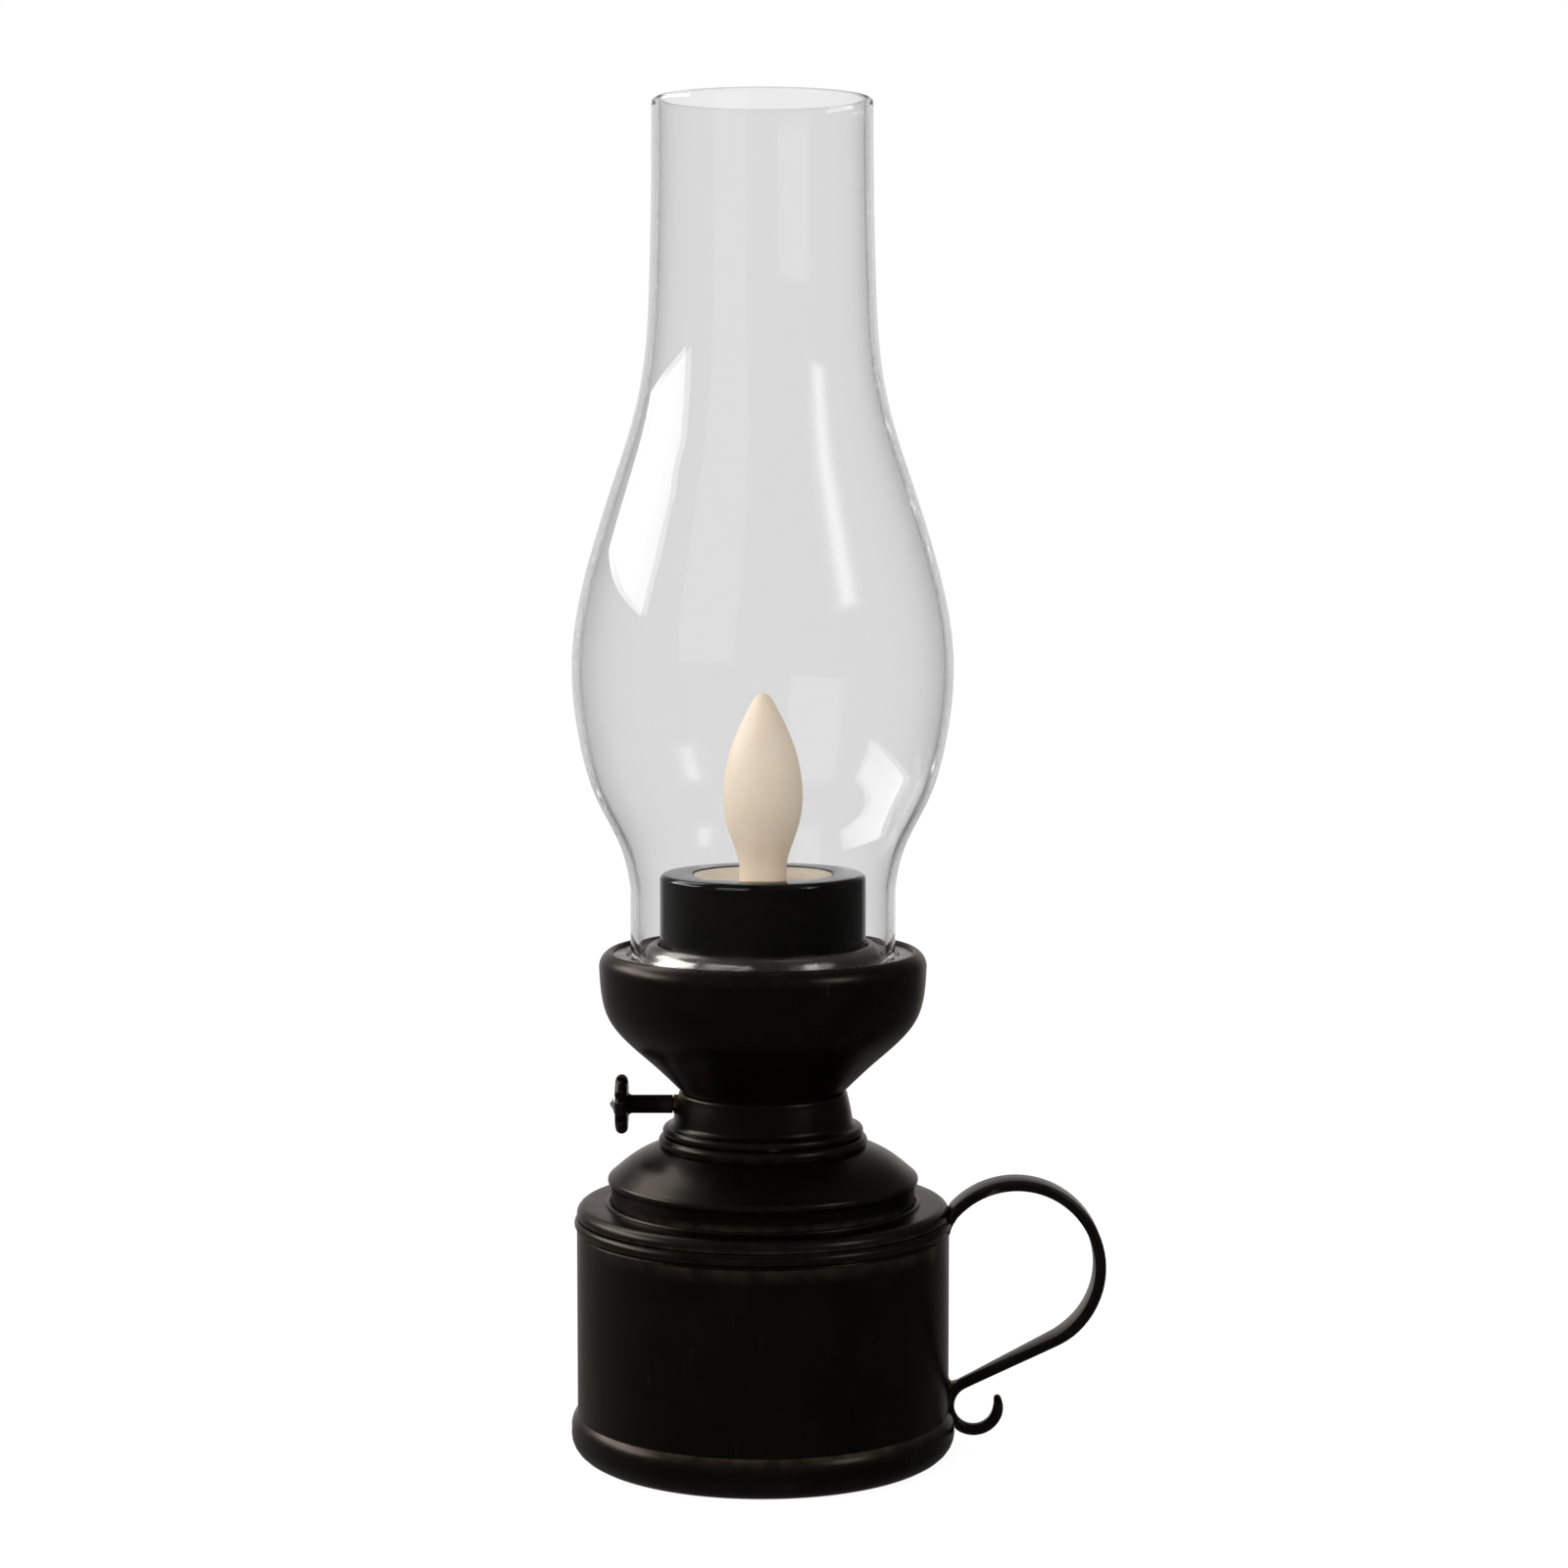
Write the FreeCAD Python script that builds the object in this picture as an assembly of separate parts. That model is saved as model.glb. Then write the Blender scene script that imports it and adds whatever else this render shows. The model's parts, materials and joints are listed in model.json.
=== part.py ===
import FreeCAD, Part

import math
import os

from FreeCAD import Vector

# Table oil lamp whose burner is an electric candle. Millimetres, +Z up.
# The origin is on the lamp's axis, in the plane that it stands on. The handle is on the
# +X side and the knob on the -X side. Each function below makes one piece.

# ---------------------------------------------------------------- driving dimensions

SHEET = 0.8                 # spun steel of the lamp's body
TRAY_SHEET = 0.7            # pressed steel of the candle tray
GLASS = 1.8                 # wall of the chimney

# Heights of the seams, from the table up.
PAN_LEDGE = 3.0             # ledge inside the pan, on which the drum wall stands
PAN_TOP = 8.3               # upper edge of the foot bead
WALL_GROOVE = 45.8          # lower edge of the groove under the wall's bead
DRUM_SEAM = 48.8            # drum wall meets drum top
DRUM_TOP = 51.5             # upper face of the drum's top plate
DOME_TOP = 63.5             # upper face of the dome, under the neck
NECK_TOP = 74.7             # upper face of the neck, under the bowl
TRAY_SEAT = 102.2           # ledge in the bowl's lip
CHANNEL_DEPTH = 0.6         # of the tray's ring for the chimney's foot
COLLAR_TOP = 105.2          # top of the tray's rounded collar round the candle
LIP_TOP = 103.6             # highest point of the bowl's lip
CHIMNEY_TOP = 275.0         # rim of the flue

# Radii.
DRUM_RADIUS = 38.2
WALL_BEAD = 0.5             # how far the bead under the seam stands out of the wall
PAN_BEAD_RADIUS = 39.4
DOME_RADIUS = 31.8
DOME_FOOT_RADIUS = 31.1
NECK_WAIST_RADIUS = 17.3
NECK_FOOT_RADIUS = 21.0
BOWL_RADIUS = 33.4
BOWL_FOOT_RADIUS = 17.0
TRAY_RADIUS = 30.5
FITTER_RADIUS = 27.0        # foot of the chimney, the common 54 mm size

# Tie bolt (M5) that clamps bowl, neck, dome and drum top together.
BOLT_RADIUS = 2.5
BOLT_HOLE_RADIUS = 2.6
BOLT_HEAD_RADIUS = 4.4
BOLT_HEAD_HEIGHT = 3.0
BOLT_END = 45.2
NUT_HEIGHT = 4.0
NUT_FLATS = 8.0
WASHER_RADIUS = 5.0
WASHER_THICKNESS = 1.0

# Knob, on an axis along X through the neck wall.
KNOB_HEIGHT = 71.8
KNOB_SHAFT_RADIUS = 1.9
KNOB_JOURNAL_RADIUS = 1.50
BUSH_BORE_RADIUS = 1.55     # running clearance 0.05
BUSH_RADIUS = 1.95
BUSH_OUTER_X = -18.3
BUSH_INNER_X = -14.5
KNOB_END_PLAY = 0.2
SPINDLE_INNER_X = -12.6
CLIP_THICKNESS = 0.7
CLIP_RADIUS = 1.9
GROOVE_DEPTH = 0.4          # of the clip's groove in the spindle
WHEEL_RADIUS = 6.1
WHEEL_THICKNESS = 2.6
WHEEL_CENTRE_X = -28.9
WHEEL_LOBES = 8
WHEEL_NOTCH_RADIUS = 1.25
WHEEL_STUD_RADIUS = 1.2
STUD_PROUD = 0.35           # how far the stud stands out of the wheel, into the cap
KNOB_TIP_X = -31.4
CAP_FOOT_RADIUS = 2.1
CAP_TIP_RADIUS = 0.25

# Handle, in the XZ plane: an arch, a straight leg and a curl, all tangent.
ARCH_CENTRE = (52.0, 38.2)
ARCH_RADIUS = 17.2
ARCH_START_ANGLE = 146.0    # degrees above the +X direction, at the drum's shoulder
CURL_CENTRE = (43.4, 8.9)
CURL_RADIUS = 5.1
CURL_TIP_ANGLE = 25.0       # degrees above the +X direction, at the curl's free end
HANDLE_THICKNESS = 2.2
HANDLE_WIDTH = 8.0
TAIL_WIDTH = 2.8
TAPER_FROM_Z = 24.0
TAPER_TO_Z = 13.0
SOLDER_BEADS = ((46.2, 1.4), (13.0, 1.3))   # height and reach of each fillet

# Electric candle.
CANDLE_FOOT = 90.6          # it stands on the floor of the tray's cup
CANDLE_TOP = 119.4
CANDLE_RADIUS = 21.0
CANDLE_WALL = 1.5
CANDLE_ROOF = 1.4           # thickness of the case's top
CANDLE_CLEARANCE = 0.4      # round the candle in the tray's cup
DISH_RADIUS = 14.1
FLAME_COLLAR_RADIUS = 4.8
FLAME_FOOT = 115.2
FLAME_TIP = 156.0
FLAME_WALL = 1.0
FLAME_FLANGE = 1.4          # how far the flange stands out of the collar
DISH_FLANGE = 0.8           # how far the dish reaches under the case's top
COVER_THICKNESS = 2.0
CELL_RADIUS = 12.25         # coin cell 24.5 mm across and 5 mm thick
CELL_THICKNESS = 5.0
CELL_CLEARANCE = 0.2
DOOR_RADIUS = 13.2
DOOR_THICKNESS = 1.2
DOOR_EAR_Y = 15.4           # the door's screw stands on the +Y side of the cell
DOOR_EAR_RADIUS = 1.7
DOOR_SCREW_RADIUS = 0.6
CRADLE_RADIUS = 13.7
CRADLE_ROOF = 98.1          # underside of the cradle's roof
CRADLE_ROOF_THICKNESS = 1.2
BOARD_Z = 101.0             # underside of the circuit board
BOARD_THICKNESS = 1.2
BOARD_RADIUS = 13.4
POST_CIRCLE = 10.0          # radius of the circle that the board's posts stand on
POST_ANGLES = (45.0, 225.0)
BOSS_CIRCLE = 17.3          # radius of the circle that the cover's screws stand on
BOSS_RADIUS = 2.3
BOSS_ANGLES = (0.0, 120.0, 240.0)
SCREW_RADIUS = 0.9
SCREW_HEAD_RADIUS = 1.8
SCREW_HEAD_HEIGHT = 1.2
COVER_SCREW_LENGTH = 7.5
COVER_SCREW_SINK = 1.4      # depth of the counterbores in the cover
PILOT_DEPTH = 8.0           # of the screw holes in the case's bosses
BOARD_SCREW_LENGTH = 3.4
BOARD_SCREW_HEAD = (1.6, 1.1)               # radius and height
LEAD_RADIUS = 0.25
LEAD_SPACING = 2.54
LED_RADIUS = 2.5
LED_FOOT = 112.0
SWITCH_X = -16.5
SWITCH_TRAVEL = 2.5
NIB_HALF_LENGTH = 1.7       # of the slider's nib along its travel
CONTACT_STRIP = 0.25        # spring strip of the two contacts

AXIS = Vector(0, 0, 1)
CENTRE = Vector(0, 0, 0)


# ---------------------------------------------------------------- helpers

class Outline:
    """An outline in the plane of radius and height, drawn edge by edge."""

    def __init__(self, radius, height):
        self.start = Vector(radius, 0, height)
        self.here = self.start
        self.edges = []

    def line(self, radius, height):
        end = Vector(radius, 0, height)
        self.edges.append(Part.LineSegment(self.here, end).toShape())
        self.here = end
        return self

    def arc(self, via, radius, height):
        """A small round: its radius stays below its distance from the axis."""
        end = Vector(radius, 0, height)
        middle = Vector(via[0], 0, via[1])
        self.edges.append(Part.Arc(self.here, middle, end).toShape())
        self.here = end
        return self

    def curve(self, points):
        """A smooth curve from here through the points."""
        places = [self.here] + [Vector(radius, 0, height) for radius, height in points]
        spline = Part.BSplineCurve()
        spline.interpolate(places)
        self.edges.append(spline.toShape())
        self.here = places[-1]
        return self

    def spin(self):
        """The closed outline turned round the lamp's axis."""
        if self.here.distanceToPoint(self.start) > 1e-6:
            self.line(self.start.x, self.start.z)
        return turn_round(Part.Face(Part.Wire(self.edges)))

    def spin_sheet(self, thickness):
        """A sheet of this thickness, inside or below the open outline, turned."""
        section = Part.Wire(self.edges).makeOffset2D(-thickness, 0, True, True, False)
        edges = Part.__sortEdges__([plain_edge(edge) for edge in section.Edges])
        return turn_round(Part.Face(Part.Wire(edges)))


def plain_edge(edge):
    """The same edge, as a spline where it is an offset curve, which STEP can't hold."""
    if edge.Curve.TypeId != "Part::GeomOffsetCurve":
        return edge
    return edge.Curve.toBSpline(edge.FirstParameter, edge.LastParameter).toShape()


def lean(radius):
    """How far the middle of a quarter round lies inside its corner's two faces."""
    return radius * (1 - math.sqrt(0.5))


def turn_round(section):
    """A full turn round the lamp's axis that starts at the back, away from the handle."""
    section.rotate(CENTRE, AXIS, 90)
    return section.revolve(CENTRE, AXIS, 360)


def rod(radius, low, high, x=0.0, y=0.0):
    """A vertical cylinder between two heights."""
    return Part.makeCylinder(radius, high - low, Vector(x, y, low), AXIS)


def rod_along_x(radius, low, high):
    """A cylinder on the knob's axis between two X places."""
    return Part.makeCylinder(radius, high - low, Vector(low, 0, KNOB_HEIGHT), Vector(1, 0, 0))


def block(x_range, y_range, z_range):
    """A box between three pairs of limits."""
    size = [high - low for low, high in (x_range, y_range, z_range)]
    corner = Vector(x_range[0], y_range[0], z_range[0])
    return Part.makeBox(size[0], size[1], size[2], corner)


def on_circle(radius, degrees):
    """The X and Y of a place on a circle round the lamp's axis."""
    turn = math.radians(degrees)
    return radius * math.cos(turn), radius * math.sin(turn)


def screw(x, y, head_z, head_height, length, radius, head_radius):
    """A screw whose head is below and whose shank points up."""
    head = rod(head_radius, head_z, head_z + head_height, x, y)
    driver_slot = block((x - head_radius, x + head_radius), (y - 0.2, y + 0.2),
                        (head_z, head_z + head_height / 2))
    shank = rod(radius, head_z + head_height, head_z + head_height + length, x, y)
    return head.cut(driver_slot).fuse(shank).removeSplitter()


# ---------------------------------------------------------------- drum

def base_pan():
    """Pan with a rolled foot bead. The drum wall stands on the ledge inside it."""
    outline = Outline(0, 0)
    outline.line(PAN_BEAD_RADIUS - 2.6, 0)
    outline.arc((PAN_BEAD_RADIUS - 0.6, 1.7), PAN_BEAD_RADIUS, 4.9)
    outline.arc((PAN_BEAD_RADIUS - 0.25, 7.0), DRUM_RADIUS, PAN_TOP)
    outline.line(DRUM_RADIUS, PAN_LEDGE)
    outline.line(DRUM_RADIUS - SHEET, PAN_LEDGE)
    outline.line(DRUM_RADIUS - 2 * SHEET, SHEET)
    outline.line(0, SHEET)
    return outline.spin()


def drum_wall():
    """Side wall, with one bead rolled between two grooves just under the seam."""
    bead_low = WALL_GROOVE + 0.8
    bead_high = DRUM_SEAM - 0.2
    outline = Outline(DRUM_RADIUS, PAN_LEDGE)
    outline.line(DRUM_RADIUS, WALL_GROOVE)
    outline.arc((DRUM_RADIUS - 0.3, (WALL_GROOVE + bead_low) / 2), DRUM_RADIUS, bead_low)
    outline.arc((DRUM_RADIUS + WALL_BEAD, (bead_low + bead_high) / 2), DRUM_RADIUS, bead_high)
    outline.line(DRUM_RADIUS, DRUM_SEAM)
    outline.line(DRUM_RADIUS - SHEET, DRUM_SEAM)
    outline.line(DRUM_RADIUS - SHEET, PAN_LEDGE)
    return outline.spin()


def drum_top():
    """Top plate: a raised ring round the dome, a rolled corner and a stepped-in skirt."""
    corner = 1.9
    ring_width = 1.1
    ring_height = 0.55
    skirt_end = 46.95
    ring = DOME_FOOT_RADIUS + 0.1
    outline = Outline(BOLT_HOLE_RADIUS, DRUM_TOP)
    outline.line(ring, DRUM_TOP)
    outline.arc((ring + ring_width / 2, DRUM_TOP + ring_height), ring + ring_width, DRUM_TOP)
    outline.line(DRUM_RADIUS - corner, DRUM_TOP)
    outline.arc((DRUM_RADIUS - lean(corner), DRUM_TOP - lean(corner)),
                DRUM_RADIUS, DRUM_TOP - corner)
    outline.line(DRUM_RADIUS, DRUM_SEAM + 0.4)
    outline.line(DRUM_RADIUS - SHEET, DRUM_SEAM)
    outline.line(DRUM_RADIUS - SHEET, skirt_end)
    return outline.spin_sheet(SHEET)


# ---------------------------------------------------------------- dome, neck and bowl

def dome_shoulder():
    """Dome: flat crown under the neck, convex slope, rolled edge and upright foot."""
    crown = NECK_FOOT_RADIUS + 0.4
    outline = Outline(BOLT_HOLE_RADIUS, DOME_TOP)
    outline.line(crown, DOME_TOP)
    outline.curve([(26.6, 61.05), (DOME_RADIUS - 0.55, 57.4)])
    outline.arc((DOME_RADIUS, 56.6), DOME_RADIUS - 0.35, 55.7)
    outline.line(DOME_FOOT_RADIUS, 55.0)
    outline.line(DOME_FOOT_RADIUS, DRUM_TOP)
    return outline.spin_sheet(SHEET)


def neck_collar():
    """Neck: closed top, bulging wall and two beads, with a hole for the knob's bush."""
    corner = 0.8
    outline = Outline(BOLT_HOLE_RADIUS, NECK_TOP)
    outline.line(NECK_WAIST_RADIUS - corner, NECK_TOP)
    outline.arc((NECK_WAIST_RADIUS - lean(corner), NECK_TOP - lean(corner)),
                NECK_WAIST_RADIUS, NECK_TOP - corner)
    outline.curve([(17.9, 71.4), (18.35, 68.9)])
    outline.arc((18.75, 68.0), 19.6, 67.6)
    outline.arc((20.55, 66.6), 19.9, 65.7)
    outline.arc((21.35, 64.75), NECK_FOOT_RADIUS, DOME_TOP)
    wall = outline.spin_sheet(SHEET)
    return wall.cut(rod_along_x(BUSH_RADIUS, BUSH_OUTER_X - 1, BUSH_INNER_X))


def bowl():
    """Bowl: flat floor, flaring side and a lip that turns in to a ledge for the tray."""
    ledge_radius = TRAY_RADIUS - 0.9
    outline = Outline(BOLT_HOLE_RADIUS, NECK_TOP)
    outline.line(BOWL_FOOT_RADIUS - 0.4, NECK_TOP)
    outline.line(BOWL_FOOT_RADIUS, NECK_TOP + 0.4)
    outline.curve([(22.9, 80.8), (28.4, 85.8), (31.6, 90.0), (33.0, 94.9),
                   (BOWL_RADIUS, 99.9)])
    outline.arc((32.85, 102.4), TRAY_RADIUS + 0.9, LIP_TOP)
    outline.arc((TRAY_RADIUS + 0.3, LIP_TOP - 0.15), TRAY_RADIUS, LIP_TOP - 0.5)
    outline.line(TRAY_RADIUS, TRAY_SEAT)
    outline.line(ledge_radius, TRAY_SEAT)
    outline.line(ledge_radius, TRAY_SEAT - SHEET)
    outline.arc((31.9, 101.0), BOWL_RADIUS - SHEET, 99.2)
    outline.curve([(32.2, 94.9), (30.85, 90.45), (27.8, 86.35), (22.3, 81.35), (16.8, 76.1)])
    outline.line(BOWL_FOOT_RADIUS - 0.9, NECK_TOP + SHEET)
    outline.line(BOLT_HOLE_RADIUS, NECK_TOP + SHEET)
    return outline.spin()


def candle_tray():
    """Tray: a cup with a rounded collar, a ring channel for the chimney and a flat rim."""
    cup = CANDLE_RADIUS + CANDLE_CLEARANCE
    rim_z = TRAY_SEAT + TRAY_SHEET
    channel_z = rim_z - CHANNEL_DEPTH
    collar_foot = FITTER_RADIUS - GLASS - 0.9
    bend = 0.8
    outline = Outline(0, CANDLE_FOOT)
    outline.line(cup - bend, CANDLE_FOOT)
    outline.arc((cup - lean(bend), CANDLE_FOOT + lean(bend)), cup, CANDLE_FOOT + bend)
    outline.line(cup, COLLAR_TOP - bend)
    outline.arc((cup + lean(bend), COLLAR_TOP - lean(bend)), cup + bend, COLLAR_TOP)
    outline.arc((cup + 2.1, COLLAR_TOP - 0.75), collar_foot, rim_z)
    outline.line(FITTER_RADIUS - GLASS - 0.5, channel_z)
    outline.line(FITTER_RADIUS + 0.5, channel_z)
    outline.line(FITTER_RADIUS + 0.9, rim_z)
    outline.line(TRAY_RADIUS, rim_z)
    return outline.spin_sheet(TRAY_SHEET)


# ---------------------------------------------------------------- chimney

def glass_chimney():
    """Blown chimney: straight fitter, bulb and a long flue with a fire-polished rim."""
    foot = TRAY_SEAT + TRAY_SHEET - CHANNEL_DEPTH
    outline = Outline(22.2, CHIMNEY_TOP)
    outline.curve([(22.4, 255), (22.8, 238), (23.95, 222), (26.5, 210), (30.2, 198.6),
                   (34.0, 186.7), (37.1, 175), (38.7, 161.5), (37.3, 147), (33.9, 135),
                   (28.6, 124), (FITTER_RADIUS, 116.5)])
    outline.line(FITTER_RADIUS, foot)
    glass = outline.spin_sheet(GLASS)
    polish = GLASS * 0.45
    rims = [edge for edge in glass.Edges if is_rim(edge, CHIMNEY_TOP) or is_rim(edge, foot)]
    return glass.makeFillet(polish, rims)


def is_rim(edge, height):
    """True for a circle that lies at this height."""
    box = edge.BoundBox
    return abs(box.ZMin - height) < 0.2 and abs(box.ZMax - height) < 0.2


# ---------------------------------------------------------------- fasteners of the body

def tie_bolt():
    """Pan-head bolt that hangs from the bowl's floor."""
    floor = NECK_TOP + SHEET
    head = rod(BOLT_HEAD_RADIUS, floor, floor + BOLT_HEAD_HEIGHT)
    top_rim = [edge for edge in head.Edges if is_rim(edge, floor + BOLT_HEAD_HEIGHT)
               and edge.Curve.TypeId == "Part::GeomCircle"]
    head = head.makeFillet(1.2, top_rim)
    slot = block((-BOLT_HEAD_RADIUS, BOLT_HEAD_RADIUS), (-0.6, 0.6),
                 (floor + BOLT_HEAD_HEIGHT - 1.3, floor + BOLT_HEAD_HEIGHT))
    shank = rod(BOLT_RADIUS, BOLT_END, floor)
    return head.cut(slot).fuse(shank).removeSplitter()


def bolt_washer():
    """Washer against the underside of the drum's top plate."""
    top = DRUM_TOP - SHEET
    ring = rod(WASHER_RADIUS, top - WASHER_THICKNESS, top)
    return ring.cut(rod(BOLT_HOLE_RADIUS, top - WASHER_THICKNESS, top))


def bolt_nut():
    """Hexagon nut under the washer."""
    top = DRUM_TOP - SHEET - WASHER_THICKNESS
    corner = NUT_FLATS / 2 / math.cos(math.radians(30))
    corners = [Vector(*on_circle(corner, 60 * side), top - NUT_HEIGHT) for side in range(7)]
    blank = Part.Face(Part.makePolygon(corners)).extrude(Vector(0, 0, NUT_HEIGHT))
    return blank.cut(rod(BOLT_RADIUS, top - NUT_HEIGHT, top))


# ---------------------------------------------------------------- knob

def knob_spindle():
    """Thin journal in the bush, thicker shaft outside and a stud for the wheel."""
    shoulder = BUSH_OUTER_X - KNOB_END_PLAY
    wheel_face = WHEEL_CENTRE_X + WHEEL_THICKNESS / 2
    stud_end = WHEEL_CENTRE_X - WHEEL_THICKNESS / 2 - STUD_PROUD
    journal = rod_along_x(KNOB_JOURNAL_RADIUS, shoulder, SPINDLE_INNER_X)
    shaft = rod_along_x(KNOB_SHAFT_RADIUS, wheel_face, shoulder)
    stud = rod_along_x(WHEEL_STUD_RADIUS, stud_end, wheel_face)
    groove_x = BUSH_INNER_X + KNOB_END_PLAY
    groove = rod_along_x(KNOB_JOURNAL_RADIUS + 1, groove_x, groove_x + CLIP_THICKNESS)
    groove = groove.cut(rod_along_x(KNOB_JOURNAL_RADIUS - GROOVE_DEPTH, groove_x,
                                    groove_x + CLIP_THICKNESS))
    return journal.fuse([shaft, stud]).removeSplitter().cut(groove)


def spindle_clip():
    """Open retaining clip in the spindle's groove."""
    low = BUSH_INNER_X + KNOB_END_PLAY
    high = low + CLIP_THICKNESS
    inner = KNOB_JOURNAL_RADIUS - GROOVE_DEPTH
    ring = rod_along_x(CLIP_RADIUS, low, high).cut(rod_along_x(inner, low, high))
    return ring.cut(block((low, high), (-inner, inner), (KNOB_HEIGHT - 3, KNOB_HEIGHT)))


def spindle_bush():
    """Plain bush in the neck wall."""
    body = rod_along_x(BUSH_RADIUS, BUSH_OUTER_X, BUSH_INNER_X)
    return body.cut(rod_along_x(BUSH_BORE_RADIUS, BUSH_OUTER_X, BUSH_INNER_X))


def knob_wheel():
    """Wheel with a lobed rim, a dished face and a bored hub."""
    low = WHEEL_CENTRE_X - WHEEL_THICKNESS / 2
    high = WHEEL_CENTRE_X + WHEEL_THICKNESS / 2
    disc = rod_along_x(WHEEL_RADIUS, low, high)
    disc = disc.makeFillet(WHEEL_THICKNESS * 0.42, [edge for edge in disc.Edges if edge.Closed])
    notches = []
    for lobe in range(WHEEL_LOBES):
        y, z = on_circle(WHEEL_RADIUS + 0.45, (lobe + 0.5) * 360 / WHEEL_LOBES)
        foot = Vector(low, y, KNOB_HEIGHT + z)
        notches.append(Part.makeCylinder(WHEEL_NOTCH_RADIUS, WHEEL_THICKNESS, foot, Vector(1, 0, 0)))
    dish_radius = 9.0
    dish_depth = 0.45
    dish_centre = Vector(low - dish_radius + dish_depth, 0, KNOB_HEIGHT)
    dish = Part.makeSphere(dish_radius, dish_centre)
    hub = rod_along_x(2.0, low, high)
    wheel = disc.cut(notches).cut(dish).fuse(hub).removeSplitter()
    return wheel.cut(rod_along_x(WHEEL_STUD_RADIUS, low, high))


def knob_cap():
    """Pointed cap nut on the spindle's stud, against the wheel's hub."""
    face = WHEEL_CENTRE_X - WHEEL_THICKNESS / 2
    height = face - KNOB_TIP_X
    cone = Part.makeCone(CAP_FOOT_RADIUS, CAP_TIP_RADIUS, height, Vector(face, 0, KNOB_HEIGHT),
                         Vector(-1, 0, 0))
    return cone.cut(rod_along_x(WHEEL_STUD_RADIUS, face - STUD_PROUD, face))


# ---------------------------------------------------------------- handle

def leg_angle():
    """Slope, in radians, of the straight leg that is tangent to the arch and the curl."""
    across = ARCH_CENTRE[0] - CURL_CENTRE[0]
    up = ARCH_CENTRE[1] - CURL_CENTRE[1]
    apart = math.hypot(across, up)
    return math.atan2(up, across) - math.asin((ARCH_RADIUS + CURL_RADIUS) / apart)


def on_arc(centre, radius, angle):
    """A place on a circle in the XZ plane."""
    return Vector(centre[0] + radius * math.cos(angle), 0, centre[1] + radius * math.sin(angle))


def handle_path():
    """The strip's centre line, from the drum's shoulder to the tip of the curl."""
    slope = leg_angle()
    arch_start = math.radians(ARCH_START_ANGLE)
    arch_end = slope - math.pi / 2
    curl_start = slope + math.pi / 2
    curl_end = math.radians(CURL_TIP_ANGLE) + 2 * math.pi
    arch = Part.Arc(on_arc(ARCH_CENTRE, ARCH_RADIUS, arch_start),
                    on_arc(ARCH_CENTRE, ARCH_RADIUS, (arch_start + arch_end) / 2),
                    on_arc(ARCH_CENTRE, ARCH_RADIUS, arch_end))
    leg = Part.LineSegment(on_arc(ARCH_CENTRE, ARCH_RADIUS, arch_end),
                           on_arc(CURL_CENTRE, CURL_RADIUS, curl_start))
    curl = Part.Arc(on_arc(CURL_CENTRE, CURL_RADIUS, curl_start),
                    on_arc(CURL_CENTRE, CURL_RADIUS, (curl_start + curl_end) / 2),
                    on_arc(CURL_CENTRE, CURL_RADIUS, curl_end))
    return Part.Wire([arch.toShape(), leg.toShape(), curl.toShape()])


def handle_band(thickness):
    """The handle's side view as a face: the centre line thickened on both sides."""
    path = handle_path()
    half = thickness / 2
    one_side = path.makeOffset2D(half, 0, True, True, False)
    other_side = path.makeOffset2D(-half, 0, True, True, False)
    tip = Part.Face(Part.Wire(Part.makeCircle(half, path.Edges[-1].Vertexes[-1].Point,
                                              Vector(0, 1, 0))))
    return one_side, other_side, tip


def drum_envelope():
    """The room that the drum takes, up to the crests of its beads, from table to top plate."""
    outline = Outline(0, 0.1)
    outline.line(PAN_BEAD_RADIUS + 0.1, 0.1)
    outline.line(PAN_BEAD_RADIUS + 0.1, PAN_TOP - 1.7)
    outline.line(DRUM_RADIUS, PAN_TOP + 0.6)
    outline.line(DRUM_RADIUS, WALL_GROOVE - 0.1)
    outline.line(DRUM_RADIUS + WALL_BEAD + 0.05, WALL_GROOVE - 0.1)
    outline.line(DRUM_RADIUS + WALL_BEAD + 0.05, DRUM_TOP)
    outline.line(0, DRUM_TOP)
    return outline.spin()


def handle_strip():
    """Bent strip, wide in the arch and tapered to the curl, ground to fit the drum."""
    reach = HANDLE_WIDTH
    bands = [face.extrude(Vector(0, 2 * reach, 0)) for face in handle_band(HANDLE_THICKNESS)]
    bar = bands[0].fuse(bands[1:]).removeSplitter()
    bar.translate(Vector(0, -reach, 0))
    wide = HANDLE_WIDTH / 2
    narrow = TAIL_WIDTH / 2
    right_side = [(wide, 60), (wide, TAPER_FROM_Z), (narrow, TAPER_TO_Z), (narrow, 0)]
    left_side = [(-y, z) for y, z in reversed(right_side)]
    corners = [Vector(30, y, z) for y, z in right_side + left_side + right_side[:1]]
    front = Part.Face(Part.makePolygon(corners)).extrude(Vector(45, 0, 0))
    strip = bar.common(front).removeSplitter()
    return strip.cut(drum_envelope()).Solids[0]


def handle_solder():
    """A solder fillet under the strip's upper end and one over its lower contact."""
    fillets = []
    for height, reach in SOLDER_BEADS:
        bead = Part.makeSphere(reach, Vector(DRUM_RADIUS + 0.4, 0, height))
        bead = bead.cut([drum_envelope(), handle_strip()])
        fillets.append(max(bead.Solids, key=lambda solid: solid.Volume))
    return Part.makeCompound(fillets)


# ---------------------------------------------------------------- electric candle, outside

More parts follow.
